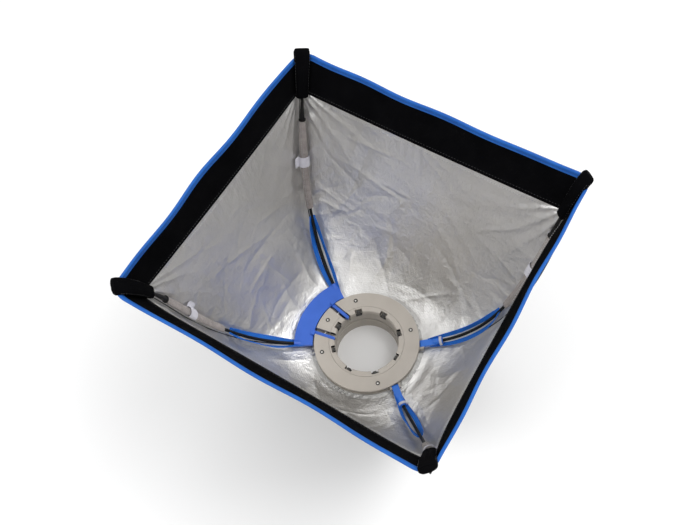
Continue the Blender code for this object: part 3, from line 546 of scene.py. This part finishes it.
def rim_lift(word, u):
    """The rim's height above its line: it scallops a little between the pockets."""
    phase = {"front": 0.3, "left": 1.4, "back": 2.2, "right": 3.9}[word]
    return (1 - u ** 4) * (0.0012 * np.sin(11.0 * u + phase) - 0.0010)


def rim_point(word, u):
    axis = wall_axis(word)
    turn = smooth(CORNER_START, 1.0, np.abs(u)) ** 1.5
    out = (HALF + rim_wave(word, u)) * (1 - turn) + RIM_CORNER[axis] * turn
    span = u * RIM_CORNER[1 - axis]
    height = RIM_Z + rim_lift(word, u)
    parts = (span, out, height) if axis else (out, span, height)
    return np.stack(np.broadcast_arrays(*parts), -1)


WALL_SIGNS = {
    "front": (1.0, -1.0, 1.0),
    "back": (1.0, 1.0, 1.0),
    "left": (-1.0, 1.0, 1.0),
    "right": (1.0, 1.0, 1.0),
}
WALL_COLUMNS = 161
WALL_ROWS = 141
BAND_ROWS = 13
WALL_THICKNESS = 0.0008
BAND_THICKNESS = 0.0016
FREE_OF_RING = 0.16
PRESS_REACH = 0.025
PRESS_GAP = 0.0008
inner_surfaces = {0: [], 1: []}
wall_trees = {}


def upper_lean(word, u, v):
    """How far a wall's top hangs outside its design surface: the right one out, the back one in."""
    lean = {"back": -0.0060, "right": 0.0055}.get(word, 0.0)
    return lean * (1 - u ** 8) * smooth(0.30, 1.0, v)


def wall_surface(word, u, v):
    """A wall's design surface, drawn between its middle curve and the seam, in the (+X, +Y) quarter."""
    axis = wall_axis(word)
    curve, arc = (END_MIDDLE, END_ARC) if axis else (SIDE_MIDDLE, SIDE_ARC)
    seam = bezier(SEAM, v)
    middle = bezier(curve, v)
    span, rise = arc_to_square(u, v, arc)
    point = middle + (seam - middle) * rise
    point[..., 1 - axis] = seam[..., 1 - axis] * span[..., 0]
    point[..., axis] += upper_lean(word, u, v)
    return point


def band_surface(word, u, w):
    low = wall_surface(word, u, np.ones_like(u))
    high = rim_point(word, u)
    belly = 0.0016 * np.sin(math.pi * w) * (1 - np.abs(u) ** 3)
    point = low + (high - low) * w[..., None]
    point[..., wall_axis(word)] += belly
    return point


def normals_of(grid):
    """Unit normals of a grid of points, turned towards the box's middle."""
    du = np.gradient(grid, axis=1)
    dv = np.gradient(grid, axis=0)
    normal = unit(np.cross(du, dv))
    middle = np.array((0.0, 0.0, RIM_Z * 0.7))
    if np.mean(np.sum(normal * (middle - grid), -1)) < 0:
        normal = -normal
    return normal


def run_lengths(grid):
    """Distances along the rows, from the middle column, and up the columns, from the first row."""
    rows, columns = grid.shape[:2]
    steps = np.linalg.norm(np.diff(grid, axis=1), axis=2)
    across = np.concatenate([np.zeros((rows, 1)), np.cumsum(steps, 1)], 1)
    across = across - across[:, columns // 2][:, None]
    steps = np.linalg.norm(np.diff(grid, axis=0), axis=2)
    up = np.concatenate([np.zeros((1, columns)), np.cumsum(steps, 0)], 0)
    return across, up


def crease(phase):
    """A fold's section: round valleys and sharp ridges."""
    return 1 - 2 * np.abs(np.sin(phase / 2)) ** 0.8


def creases(across, up, seed, count, depth):
    """Straight sharp creases left by folding the box away, each fading out along its line."""
    rng = np.random.RandomState(seed)
    span = np.abs(across).max()
    rise = up.max()
    total = np.zeros_like(across)
    for _ in range(count):
        middle = rng.uniform(-span, span), rng.uniform(0.08, 0.95) * rise
        angle = rng.uniform(0, math.pi)
        length = rng.uniform(0.020, 0.080)
        width = rng.uniform(0.002, 0.009)
        height = rng.uniform(0.35, 1.0) * depth * rng.choice((-1, 1))
        dx = across - middle[0]
        dy = up - middle[1]
        along = dx * math.cos(angle) + dy * math.sin(angle)
        away = dy * math.cos(angle) - dx * math.sin(angle)
        total += height * np.exp(-np.abs(away) / width) * np.exp(-(along / length) ** 2)
    return total


def wall_relief(u, grid, seed):
    """Wrinkles of the lining: pulls from the top corners, gathers along the seams, folds round the ring."""
    across, up = run_lengths(grid)
    below_band = up[-1] - up
    half_span = np.abs(across[:, -1])[:, None]
    relief = 0.0014 * layered_noise(across * 12 + 7, up * 7, seed, 2)
    relief += 0.0006 * layered_noise(across * 60, up * 14 + 3, seed + 5, 3)
    relief += 0.0016 * layered_noise(across * 5, up * 5 + 9, seed + 8, 2)
    for side in (-1, 1):
        from_seam = half_span - side * across
        reach = np.hypot(from_seam, below_band)
        angle = np.arctan2(from_seam, below_band + 0.004)
        wander = 2.2 * layered_noise(reach * 14 + 20, angle * 3 + side, seed + 11, 2)
        fan = crease(angle * 17 + wander)
        relief += 0.0017 * fan * np.exp(-reach / 0.085) * smooth(0.0, 0.03, reach)
        gather = crease(up / 0.0052 + from_seam * 60 + 5 * layered_noise(up * 9, from_seam * 5, seed + 17, 2))
        relief += 0.0010 * gather * np.exp(-from_seam / 0.020) * smooth(0.0, 0.008, from_seam)
    pleat = crease(across / 0.0020 + 7 * layered_noise(across * 11, below_band * 4, seed + 23, 2))
    strength = smooth(-0.4, 0.6, lattice_noise(across * 22, across * 0 + 0.5, seed + 29))
    relief += 0.0010 * pleat * strength * np.exp(-below_band / 0.032)
    around = np.arctan2(grid[..., 0], np.abs(grid[..., 1]) + 1e-6)
    fold = crease(around * 15 + 4 * layered_noise(around * 2 + 5, up * 9, seed + 31, 2))
    relief += 0.0013 * fold * np.exp(-((up - 0.07) / 0.05) ** 2)
    relief += creases(across, up, seed + 37, 80, 0.0018)
    radius = np.hypot(grid[..., 0], grid[..., 1])
    patchy = 0.5 + 0.5 * lattice_noise(around * 2.3 + 11, around * 0 + 0.5, seed + 43)
    relief += 0.0012 * patchy * np.exp(-((radius - 0.112) / 0.008) ** 2) * smooth(0.03, 0.0, up - 0.05)
    hold = smooth(0.0, 0.025, 1 - np.abs(u)) * smooth(0.0, 0.012, up) * smooth(0.0, 0.006, below_band)
    beside_rod = np.exp(-((half_span - np.abs(across)) / 0.018) ** 2) * smooth(0.16, 0.08, grid[..., 2])
    hold = hold * (1 - 0.85 * beside_rod)
    return relief * hold


def rim_weight(word, u):
    """The front follows the yoke as one; the other sides follow their rods less towards their middles."""
    return np.ones_like(u) if word == "front" else np.abs(u)


def wall_weight(word, u, v):
    """How far each fabric point follows the rods: not at the ring nor on the wall's middle line."""
    from_ring = smooth(0.0, FREE_OF_RING, v)
    return from_ring * rim_weight(word, u)


def halves(word, columns):
    """The column ranges of a wall's pieces, with their names and the body that their seam follows."""
    middle = columns // 2
    if word == "front":
        return [("", slice(0, columns), "yoke")]
    if word == "back":
        return [("_left", slice(0, middle + 1), "rod_left"), ("_right", slice(middle, columns), "rod_right")]
    return [("_front", slice(0, middle + 1), "yoke"), ("_back", slice(middle, columns), f"rod_{word}")]


def make_wall(word, seed):
    flip = np.array(WALL_SIGNS[word])
    u, v = np.meshgrid(np.linspace(-1, 1, WALL_COLUMNS), np.linspace(0, 1, WALL_ROWS))
    grid = wall_surface(word, u, v) * flip
    inward = normals_of(grid)
    relief = wall_relief(u, grid, seed)
    across, up = run_lengths(grid)
    uv = np.stack([across, up], -1)
    grid = grid + inward * relief[..., None]
    inward = normals_of(grid)
    inner_surfaces[wall_axis(word)].append(grid + inward * WALL_THICKNESS / 2)
    weight = wall_weight(word, u, v)
    for suffix, part, body in halves(word, WALL_COLUMNS):
        bank = Bank()
        bank.add_slab(grid[:, part], inward[:, part], WALL_THICKNESS, (0, 1), uv[:, part], weight[:, part])
        bank.build(f"lining_{word}{suffix}", [FOIL, NYLON], blend=("ring", body),
                   replaces=[f"wall_{word}"], sharp=60)


def make_band(word, seed):
    flip = np.array(WALL_SIGNS[word])
    u, w = np.meshgrid(np.linspace(-1, 1, WALL_COLUMNS), np.linspace(-0.05, 0.94, BAND_ROWS))
    grid = band_surface(word, u, w) * flip
    inward = normals_of(grid)
    across, up = run_lengths(grid)
    relief = 0.0009 * layered_noise(across * 16, up * 10, seed, 2)
    relief += 0.0004 * layered_noise(across * 70, up * 20, seed + 3, 2)
    relief = relief * smooth(0.0, 0.05, 1 - np.abs(u)) * smooth(-0.05, 0.1, w) * smooth(0.82, 0.60, w)
    lap = WALL_THICKNESS * 1.3 * smooth(0.12, 0.02, w)
    grid = grid + inward * (relief + lap)[..., None]
    inner_surfaces[wall_axis(word)].append(grid + inward * BAND_THICKNESS / 2)
    uv = np.stack([across, up], -1)
    weight = rim_weight(word, u)
    for suffix, part, body in halves(word, WALL_COLUMNS):
        bank = Bank()
        bank.add_slab(grid[:, part], inward[:, part], BAND_THICKNESS, (0, 1), uv[:, part], weight[:, part])
        row = grid[1, part] + inward[1, part] * BAND_THICKNESS * 0.5
        side = np.gradient(grid, axis=0)[1, part]
        bank.add_stitches(row, side, inward[1, part], 2, weight=weight[1, part])
        low = grid[0, part] - side + inward[0, part] * 0.0006
        bank.add_stitches(low, side, inward[0, part], 3, weight=weight[0, part], length=0.0020, pitch=0.0038,
                          radius=0.0004)
        bank.build(f"lip_band_{word}{suffix}_fabric", [LOOP_FABRIC, NYLON, BLACK_THREAD, GREY_THREAD],
                   blend=("ring", body),
                   replaces=[f"lip_band_{word}"], sharp=60)


def binding_profile():
    """Half of the folded tape's section, in metres: up along the sheet, then across it."""
    outline = [(-0.0072, 0.0011), (-0.0068, 0.0016), (-0.0046, 0.0017), (-0.0041, 0.0011), (-0.0036, 0.0017)]
    outline += [(-0.0010, 0.0022), (0.0006, 0.0019), (0.0014, 0.0010), (0.0016, 0.0)]
    mirrored = [(a, -b) for a, b in outline[-2::-1]]
    return outline + mirrored


def make_rim_binding(word):
    flip = np.array(WALL_SIGNS[word])
    u = np.linspace(-BINDING_END, BINDING_END, WALL_COLUMNS)
    rim = band_surface(word, u, np.ones_like(u)) * flip
    below = band_surface(word, u, np.full_like(u, 0.8)) * flip
    up = unit(rim - below)
    tangent = unit(np.gradient(rim, axis=0))
    inward = np.cross(tangent, up)
    if np.mean(np.sum(inward[:, :2] * -rim[:, :2], -1)) < 0:
        inward = -inward
    profile = binding_profile()
    weight = rim_weight(word, u)
    for suffix, part, body in halves(word, WALL_COLUMNS):
        bank = Bank()
        bank.add_sweep(rim[part] + up[part] * 0.0005, up[part], inward[part], profile, 0, weight=weight[part])
        seam = rim[part] - up[part] * 0.0036 + inward[part] * 0.0013
        bank.add_stitches(seam, up[part], inward[part], 1, weight=weight[part], length=0.0030, pitch=0.0044)
        bank.build(f"rim_binding_{word}{suffix}_tape", [BINDING, BLUE_THREAD], blend=("ring", body),
                   replaces=[f"rim_binding_{word}"])


def make_corner_seams():
    """Black piping over the corner seams outside, from the collar to the rim."""
    for corner, body in CORNER_BODY.items():
        flip = corner_sign(corner)
        v = np.linspace(0.03, 1.0, 60)
        seam = np.concatenate([bezier(SEAM, v), np.linspace(bezier(SEAM, 1.0), RIM_CORNER, 14)[1:12]])
        outward = np.array((0.60, 0.80, 0.0)) * flip
        path = seam * flip
        tangent = unit(np.gradient(path, axis=0))
        out = unit(outward - tangent * np.sum(tangent * outward, -1)[:, None])
        side = np.cross(tangent, out)
        profile = ellipse(0.0022, 0.0011, 12)
        weight = np.concatenate([smooth(0.0, FREE_OF_RING, v), np.ones(11)])
        bank = Bank()
        bank.add_sweep(path + out * 0.0008, out, side, profile, 0, weight=weight)
        bank.build(f"corner_seam_{corner}", [NYLON], blend=("ring", body))


# Rods and what they carry

def rod_parameter(height):
    t = np.linspace(0, 1, 400)
    return np.interp(height, bezier(ROD, t)[:, 2], t)


def rod_frames(corner, low, high, count):
    """Path points between two heights, with tangents, the outward side and the side across the corner."""
    flip = corner_sign(corner)
    t = np.linspace(rod_parameter(low), rod_parameter(high), count)
    path = bezier(ROD, t) * flip
    step = 1e-4
    tangent = unit((bezier(ROD, t + step) - bezier(ROD, t - step)) * flip)
    outward = np.array((1.0, 1.0, 0.0)) * flip / math.sqrt(2)
    out = unit(outward - tangent * (tangent @ outward)[:, None])
    across = np.cross(tangent, out)
    toward_end = np.array((0.0, flip[1], 0.0))
    if np.mean(across @ toward_end) < 0:
        across = -across
    return path, tangent, out, across


def grow_wall_trees():
    """Search trees over the inner faces of the side walls (0) and of the front and back (1)."""
    for axis, grids in inner_surfaces.items():
        points = []
        faces = []
        for grid in grids:
            rows, columns = grid.shape[:2]
            first = len(points) + np.arange(rows * columns).reshape(rows, columns)
            quads = np.stack([first[:-1, :-1], first[:-1, 1:], first[1:, 1:], first[1:, :-1]], -1)
            points += grid.reshape(-1, 3).tolist()
            faces += quads.reshape(-1, 4).tolist()
        wall_trees[axis] = BVHTree.FromPolygons(points, faces)


def press_inside(bank, corner, margin):
    """Flatten what was collected against the two walls that meet at the corner, as cloth would be."""
    flip = corner_sign(corner)
    above = RIM_CORNER + np.array((0.030, 0.030, 0.012))
    line = np.concatenate([bezier(SEAM, np.linspace(0, 1, 80)), [RIM_CORNER, above]])
    for index, points in enumerate(bank.points):
        local = points * flip
        for axis in (0, 1):
            limit = np.interp(local[:, 2], line[:, 2], line[:, axis]) - margin
            local[:, axis] = np.minimum(local[:, axis], limit)
        bank.points[index] = local * flip
        for axis, tree in wall_trees.items():
            way = Vector((0.0, 0.0, 0.0))
            way[axis] = flip[axis]
            for point in bank.points[index]:
                hit = tree.ray_cast(Vector(point) - way * PRESS_REACH, way, 2 * PRESS_REACH)[0]
                if hit is not None:
                    point[axis] = flip[axis] * min(abs(point[axis]), abs(hit[axis]) - PRESS_GAP)


def ellipse(a, b, count, power=1.0):
    """A closed outline; power under 1 squares its corners."""
    angles = np.linspace(0, 2 * math.pi, count + 1)[:-1]
    c, s = np.cos(angles), np.sin(angles)
    return np.stack([a * np.sign(c) * np.abs(c) ** power, b * np.sign(s) * np.abs(s) ** power], -1)


def make_rod(corner, body):
    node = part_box(f"rod_{corner}")
    radius = 0.0025
    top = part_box(f"rod_tip_{corner}")[0].z + TIP_RISE + 0.004
    path, _, out, across = rod_frames(corner, node[0].z + radius, top, 60)
    bank = Bank()
    bank.add_sweep(path, out, across, ellipse(radius, radius, 16), 0)
    bank.build(f"bowed_rod_{corner}", [BLACK_COAT], body=body, replaces=[f"rod_{corner}"])


def make_rod_tip(corner, body):
    """A tapered black end piece that widens down to a flat plate."""
    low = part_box(f"rod_tip_{corner}")[0].z + TIP_RISE
    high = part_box(f"corner_pocket_{corner}")[0].z + 0.012
    path, tangent, out, across = rod_frames(corner, low, high, 30)
    girth = 0.0019 + 0.0019 * np.linspace(1, 0, 30) ** 1.6
    bank = Bank()
    bank.add_sweep(path, out, across, ellipse(1.0, 1.0, 18), 0, scale=girth)
    foot = [path[0] + tangent[0] * shift for shift in (-0.0016, -0.0013, 0.0004, 0.0007)]
    bank.add_sweep(foot, steady(out[0], 4), steady(across[0], 4), ellipse(1.0, 1.15, 20), 0,
                   scale=[0.0042, 0.0047, 0.0047, 0.0042])
    bank.build(f"rod_end_{corner}", [BLACK_COAT], body=body, replaces=[f"rod_tip_{corner}"])


def make_sleeve(corner, body, seed):
    """A flat woven sleeve round the rod, with a lengthwise fold and soft waists."""
    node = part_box(f"rod_sleeve_{corner}")
    low = node[0].z - SLEEVE_DROP
    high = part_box(f"rod_tip_{corner}")[0].z + TIP_RISE - 0.0012
    count = 70
    path, _, out, across = rod_frames(corner, low, high, count)
    base = ellipse(0.0036, 0.0061, 28, 0.9)
    profile = np.repeat(base[None], count, 0)
    s = np.linspace(0, 1, count)
    for j in range(len(base)):
        around = j * 0.4
        wobble = layered_noise(s * 9 + around, np.full(count, around), seed, 2)
        profile[:, j] *= (1 + 0.07 * wobble)[:, None]
    fold = np.exp(-((base[:, 1] - 0.0012) / 0.0007) ** 2) * (base[:, 0] < 0)
    profile[:, :, 0] -= 0.0007 * fold
    ends = 1 - 0.10 * np.exp(-s / 0.02) - 0.30 * np.exp(-(1 - s) / 0.12)
    bank = Bank()
    bank.add_sweep(path, out, across, profile, 0, scale=ends)
    row = path - out * 0.0036 + across * 0.0034
    bank.add_stitches(row[2:-2], across[2:-2], -out[2:-2], 1, length=0.0024, pitch=0.0038)
    bank.build(f"woven_sleeve_{corner}", [SLEEVE, GREY_THREAD], body=body,
               replaces=[f"rod_sleeve_{corner}"])


def strap_outline(half, thick):
    """A strap's section, with points across its width so that it can bend."""
    width = np.linspace(-half, half, 9)
    edge = half + 0.0004
    return [(x, -thick) for x in width] + [(edge, 0.0)] + [(x, thick) for x in width[::-1]] + [(-edge, 0.0)]


def make_loop(corner, body):
    """A wide white webbing loop round the sleeve and its doubled tongue."""
    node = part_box(f"loop_tab_{corner}")
    middle = (node[0].z + node[1].z) / 2
    path, tangent, out, across = rod_frames(corner, middle - 0.0055, middle + 0.0055, 9)
    centre, up, out, across = path[4], tangent[4], out[4], across[4]
    bank = Bank()
    angles = np.linspace(0, 2 * math.pi, 37)
    loop = centre + np.cos(angles)[:, None] * out * 0.0060 + np.sin(angles)[:, None] * across * 0.0082
    away = unit(loop - centre)
    half = LOOP_HALF_HEIGHT
    bank.add_sweep(loop, steady(up, len(loop)), away, strap_outline(half, 0.0005), 0)
    reach = np.linspace(0.0074, 0.0150, 12)
    bend = -0.0050 * np.linspace(0, 1, 12) ** 1.5
    tongue = centre + reach[:, None] * across + bend[:, None] * out
    half = LOOP_HALF_HEIGHT * 0.94
    taper = np.concatenate([np.ones(9), [0.97, 0.9, 0.78]])
    bank.add_sweep(tongue, steady(up, 12), steady(out, 12), strap_outline(half, 0.0010), 0, scale=taper)
    for side in (-0.0066, 0.0066):
        row = tongue[1:-2] + up * side - out * 0.0010
        bank.add_stitches(row, steady(up, 9), steady(-out, 9), 1, length=0.0016, pitch=0.0026)
    press_inside(bank, corner, 0.0030)
    bank.build(f"sleeve_loop_{corner}", [WHITE, GREY_THREAD], body=body, replaces=[f"loop_tab_{corner}"])


def make_pocket(corner, body, seed):
    """A flattened fabric tube over the rod's end: wide and sewn shut at the top, open below."""
    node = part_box(f"corner_pocket_{corner}")
    count = 40
    path, tangent, out, across = rod_frames(corner, node[0].z + 0.001, node[1].z - 0.001, count)
    s = np.linspace(0, 1, count)
    path = path + out * (0.0008 + 0.0024 * s)[:, None] + tangent * (POCKET_RISE * s ** 2)[:, None]
    base = ellipse(1.0, 1.0, 44, 0.78)
    wide = 0.0088 + 0.0030 * s
    deep = 0.0062 - 0.0008 * s
    profile = np.stack([base[:, 0] * deep[:, None], base[:, 1] * wide[:, None]], -1)
    turns = np.arange(44) * 0.35
    wobble = layered_noise(s[:, None] * 5 + turns, np.broadcast_to(turns, (count, 44)), seed, 2)
    profile = profile * (1 + 0.05 * wobble)[..., None]
    top = np.clip((s - 0.93) / 0.07, 0, 1)
    profile = profile * (1 - 0.16 * top ** 2)[:, None, None]
    bank = Bank()
    bank.add_sweep(path, out, across, profile, 0)
    lip = [path[-1] - tangent[-1] * 0.0030, path[-1] + tangent[-1] * 0.0002, path[-1] + tangent[-1] * 0.0010]
    bank.add_sweep(lip, steady(out[-1], 3), steady(across[-1], 3), ellipse(0.0034, 0.0106, 36, 0.8), 0,
                   scale=[1.0, 1.0, 0.9])
    cuff = [path[0] - tangent[0] * 0.0012, path[0] - tangent[0] * 0.0006]
    cuff += [path[0] + tangent[0] * 0.0035, path[0] + tangent[0] * 0.0045]
    bank.add_sweep(cuff, steady(out[0], 4), steady(across[0], 4), ellipse(0.0065, 0.0093, 40, 0.78), 0,
                   scale=[0.96, 1.0, 1.0, 0.95])
    for side in (-1, 1):
        row = path[1:-3] + across[1:-3] * (side * wide[1:-3] * 0.93)[:, None] - out[1:-3] * 0.0028
        bank.add_stitches(row, across[1:-3], unit(across[1:-3] * side - out[1:-3]), 1)
    press_inside(bank, corner, 0.0016)
    bank.build(f"end_pocket_{corner}", [LOOP_FABRIC, BLACK_THREAD], body=body,
               replaces=[f"corner_pocket_{corner}"])


def make_slit_tapes(corner, body):
    """Folded blue tapes on both edges of the corner slit, from the ring up to where the slit closes."""
    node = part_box(f"slit_binding_{corner}")
    count = 60
    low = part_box(f"rod_{corner}")[0].z + 0.0035
    high = node[1].z - TAPE_TRIM.get(corner, 0.0)
    path, tangent, out, across = rod_frames(corner, low, high, count)
    lead = 10
    path = np.concatenate([path[0] - tangent[0] * np.linspace(TAPE_LEAD, 0.002, lead)[:, None], path])
    tangent, out, across = (np.concatenate([steady(axes[0], lead), axes]) for axes in (tangent, out, across))
    s = np.linspace(0, 1, count + lead)
    bank = Bank()
    half = TAPE_HALF_WIDTH
    for side in (-1, 1):
        widen = 0.60 + 0.40 * np.sin(math.pi * np.clip(s * 1.15, 0, 1)) ** 0.8
        spread = 0.0082 * widen * (1 - 0.55 * smooth(0.86, 1.0, s))
        depth = -0.0012 + 0.0030 * np.sin(math.pi * s) + 0.0010 * np.sin(9 * s + side)
        line = path + across * (side * spread)[:, None] + out * depth[:, None]
        tilt = 0.9 + 0.35 * np.sin(6 * s + 2 * side)
        wide = unit(across * side * np.cos(tilt)[:, None] * 0.9 - out * np.sin(tilt)[:, None] * 0.45)
        wide = unit(wide - tangent * np.sum(wide * tangent, -1)[:, None])
        thin = np.cross(tangent, wide)
        thin = thin * np.sign(np.sum(thin * -out, -1))[:, None]
        tape = [(-half, -0.0006), (half * 0.85, -0.0008), (half, 0.0), (half * 0.85, 0.0008), (-half, 0.0006)]
        tape.append((-half * 1.1, 0.0))
        swell = 0.75 + 0.25 * np.sin(math.pi * np.clip(s * 2, 0, 1) / 2)
        bank.add_sweep(line, wide, thin, tape, 0, scale=swell)
        row = line + wide * 0.0016 + thin * 0.0007
        bank.add_stitches(row, wide, thin, 1, length=0.0024, pitch=0.0036)
    bank.build(f"slit_tape_{corner}", [SLIT_TAPE, BLUE_THREAD], body=body,
               replaces=[f"slit_binding_{corner}"])


# The ring's fabric collar

def make_collar():
    """The lining's turned-in edge, from the clamp under the flange to the walls: foil above, darkened as
    painted shade round the plate's edge, nylon below.
    """
    inner = collar_box[1].x - 0.020
    level = (collar_box[0].z + collar_box[1].z) / 2
    wall_start = bezier(END_MIDDLE, 0.0)
    s = np.linspace(0, 1, 31)
    radius = inner + (wall_start[1] + 0.0020 - inner) * s
    height = level + (wall_start[2] - level) * s
    angles = np.linspace(0, 2 * math.pi, 433)
    gather = crease(angles * 54 + 3 * np.sin(angles * 7)) * (0.6 + 0.4 * np.sin(angles * 5 + 1))
    free = smooth(0.62, 0.80, s) * smooth(1.0, 0.90, s)
    height = height[:, None] + COLLAR_GATHER * gather * free[:, None]
    grid = np.stack(np.broadcast_arrays(radius[:, None] * np.cos(angles), radius[:, None] * np.sin(angles),
                                        height), -1)
    normal = unit(np.cross(np.gradient(grid, axis=1), np.gradient(grid, axis=0)))
    normal = np.where(normal[..., 2:3] < 0, -normal, normal)
    uv = np.stack(np.broadcast_arrays(angles[None] * radius[-1], radius[:, None]), -1)
    bank = Bank()
    bank.add_slab(grid, normal, 0.0010, (0, 1), uv)
    bank.build("collar_fabric", [SHADED_COLLAR_FOIL, NYLON], body="ring", replaces=["back_collar"],
               sharp=60)


# Ring hardware

def paint(node, material, edge=0.0):
    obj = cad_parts[node]
    obj.data.materials.clear()
    obj.data.materials.append(material)
    obj.data.polygons.foreach_set("use_smooth", [True] * len(obj.data.polygons))
    obj.data.set_sharp_from_angle(angle=math.radians(30))
    if edge:
        bevel = obj.modifiers.new("edge", "BEVEL")
        bevel.width = edge
        bevel.segments = 2
        bevel.limit_method = "ANGLE"
        bevel.angle_limit = math.radians(35)
        bevel.harden_normals = True


def mark_faces(node, material, chosen):
    """Give the faces for which chosen(centre, normal) is true another material."""
    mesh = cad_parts[node].data
    mesh.materials.append(material)
    for face in mesh.polygons:
        if chosen(face.center, face.normal):
            face.material_index = len(mesh.materials) - 1


def inside_window(centre, normal):
    """True on the walls of the openings that are cut through the ring's inner edge."""
    radius = math.hypot(centre.x, centre.y)
    radial = (centre.x * normal.x + centre.y * normal.y) / radius
    on_bore = radial < -0.97 and radius < BORE_RADIUS + 0.0008
    return abs(normal.z) < 0.5 and not on_bore and radius < BORE_RADIUS + 0.0065 and abs(radial) < 0.999


def paint_hardware():
    finishes = (
        (PLATE, ("top_plate", "plate_bridge", "bore_liner", "retaining_ring")),
        # The housing and the mount tube get the plate's grey darkened as painted shade.
        (BORE_GREY_SHADED, ("housing_base", "mount_tube")),
        (BLACK_PLASTIC, ("fabric_clamp_ring", "friction_washer")),
        # The levers' lighter blue is painted light over their shade.
        (LEVER_BLUE_LIFTED, ("rod_lever_left", "rod_lever_right")),
    )
    for material, nodes in finishes:
        for node in nodes:
            paint(node, material)
    for node in ("bore_liner", "plate_bridge"):
        mark_faces(node, BLACK_PLASTIC, inside_window)
    paint("release_yoke", BLUE_COAT, edge=0.0006)
    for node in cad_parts:
        if "_pin_" in node:
            paint(node, STEEL)
        if node.startswith("lever_collar"):
            paint(node, WHITE)
        if node.startswith("plate_screw"):
            paint(node, DARK_STEEL)
            low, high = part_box(node)
            axis = (low + high) / 2
            mark_faces(node, STEEL, lambda centre, _: (centre - axis).xy.length < 0.0014)


def make_window_pads():
    """Dark rubber pads that stand in the windows of the bore and grip the lamp's collar."""
    count = 8
    backing = [(0.0145, 0.0007), (0.0135, 0.0004), (0.0092, 0.0004), (0.0086, 0.0010)]
    pad = [(0.0125, 0.0022), (0.0115, 0.0012), (0.0060, 0.0016), (0.0034, 0.0018), (0.0022, 0.0030)]
    for index in range(count):
        outward, sideways = spokes(2 * math.pi * index / count)
        bank = Bank()
        for material, rows, deep, wide in ((0, backing, 0.0007, 0.0052), (1, pad, 0.0016, 0.0030)):
            rows = np.array(rows)
            path = outward * (BORE_RADIUS + rows[:, 1:]) + np.array((0, 0, 1.0)) * (PLATE_TOP - rows[:, :1])
            axes = (steady(outward, len(rows)), steady(sideways, len(rows)))
            bank.add_sweep(path, *axes, ellipse(deep, wide, 20, 0.4), material)
        bank.build(f"bore_pad_{index + 1}", [BLACK_PLASTIC, RUBBER], body="ring")


def make_root_pads():
    """Low raised pads where the yoke's fingers leave its plate."""
    top = yoke_box[1].z
    for side, word in ((-1, "left"), (1, "right")):
        outward, sideways = spokes(side * ROOT_PAD_ANGLE)
        centre = outward * ROOT_PAD_RADIUS
        path = [centre + np.array((0, 0, top + rise)) for rise in (-0.0020, 0.0006, 0.0010)]
        bank = Bank()
        bank.add_sweep(path, steady(outward, 3), steady(sideways, 3), ellipse(0.0030, 0.0042, 24, 0.35), 0,
                       scale=[1.0, 1.0, 0.9])
        bank.build(f"yoke_root_pad_{word}", [BLUE_COAT], body="yoke")


def make_floor():
    bpy.ops.mesh.primitive_plane_add(size=60.0, location=(0.0, 0.0, 0.0))
    floor = bpy.context.object
    floor.name = "floor"
    look = Look("pale_floor")
    soft = look.noise(look.coords("Object"), 3.0, 2.0)
    tint = look.ramp(soft, ((0.3, (0.93, 0.93, 0.93)), (0.7, (0.95, 0.95, 0.95))))
    look.set(Base_Color=tint, Roughness=0.9)
    floor.data.materials.append(look.material)


def make_light(name, place, target, size, power):
    data = bpy.data.lights.new(name, "AREA")
    data.shape = "RECTANGLE"
    data.size, data.size_y = size
    data.energy = power
    lamp = bpy.data.objects.new(name, data)
    bpy.context.scene.collection.objects.link(lamp)
    lamp.location = place
    lamp.rotation_euler = (Vector(target) - Vector(place)).to_track_quat("-Z", "Y").to_euler()


def make_studio():
    world = bpy.data.worlds.new("studio")
    bpy.context.scene.world = world
    world.use_nodes = True
    background = world.node_tree.nodes["Background"]
    background.inputs["Color"].default_value = (1.0, 1.0, 1.0, 1.0)
    background.inputs["Strength"].default_value = 0.78
    aim = (0.0, 0.0, 0.15)
    make_light("key", (-0.9, 1.1, 2.3), aim, (1.8, 1.8), 36)
    make_light("fill", (1.6, -0.9, 1.9), aim, (1.6, 1.6), 22)
    bpy.context.scene.view_settings.view_transform = "Standard"


def make_camera():
    place = (0.4101, 0.3183, 1.3327)
    yaw, elevation, roll = (math.radians(angle) for angle in (128.747, 62.447, -8.134))
    data = bpy.data.cameras.new("camera")
    data.sensor_width = 36.0
    data.lens = 43.36
    data.clip_start = 0.01
    camera = bpy.data.objects.new("camera", data)
    bpy.context.scene.collection.objects.link(camera)
    turn = Matrix.Rotation(yaw, 4, "Z") @ Matrix.Rotation(math.pi / 2 - elevation, 4, "X")
    turn = turn @ Matrix.Rotation(roll, 4, "Z")
    camera.matrix_world = Matrix.Translation(place) @ turn
    bpy.context.scene.camera = camera


def main():
    for index, word in enumerate(WALL_SIGNS):
        make_wall(word, 40 + 50 * index)
        make_band(word, 400 + 10 * index)
        make_rim_binding(word)
    grow_wall_trees()
    make_corner_seams()
    for index, (corner, body) in enumerate(CORNER_BODY.items()):
        make_rod(corner, body)
        make_rod_tip(corner, body)
        make_sleeve(corner, body, 600 + index)
        make_loop(corner, body)
        make_pocket(corner, body, 700 + index)
        make_slit_tapes(corner, body)
    make_collar()
    paint_hardware()
    make_window_pads()
    make_root_pads()
    make_floor()
    make_studio()
    make_camera()


main()
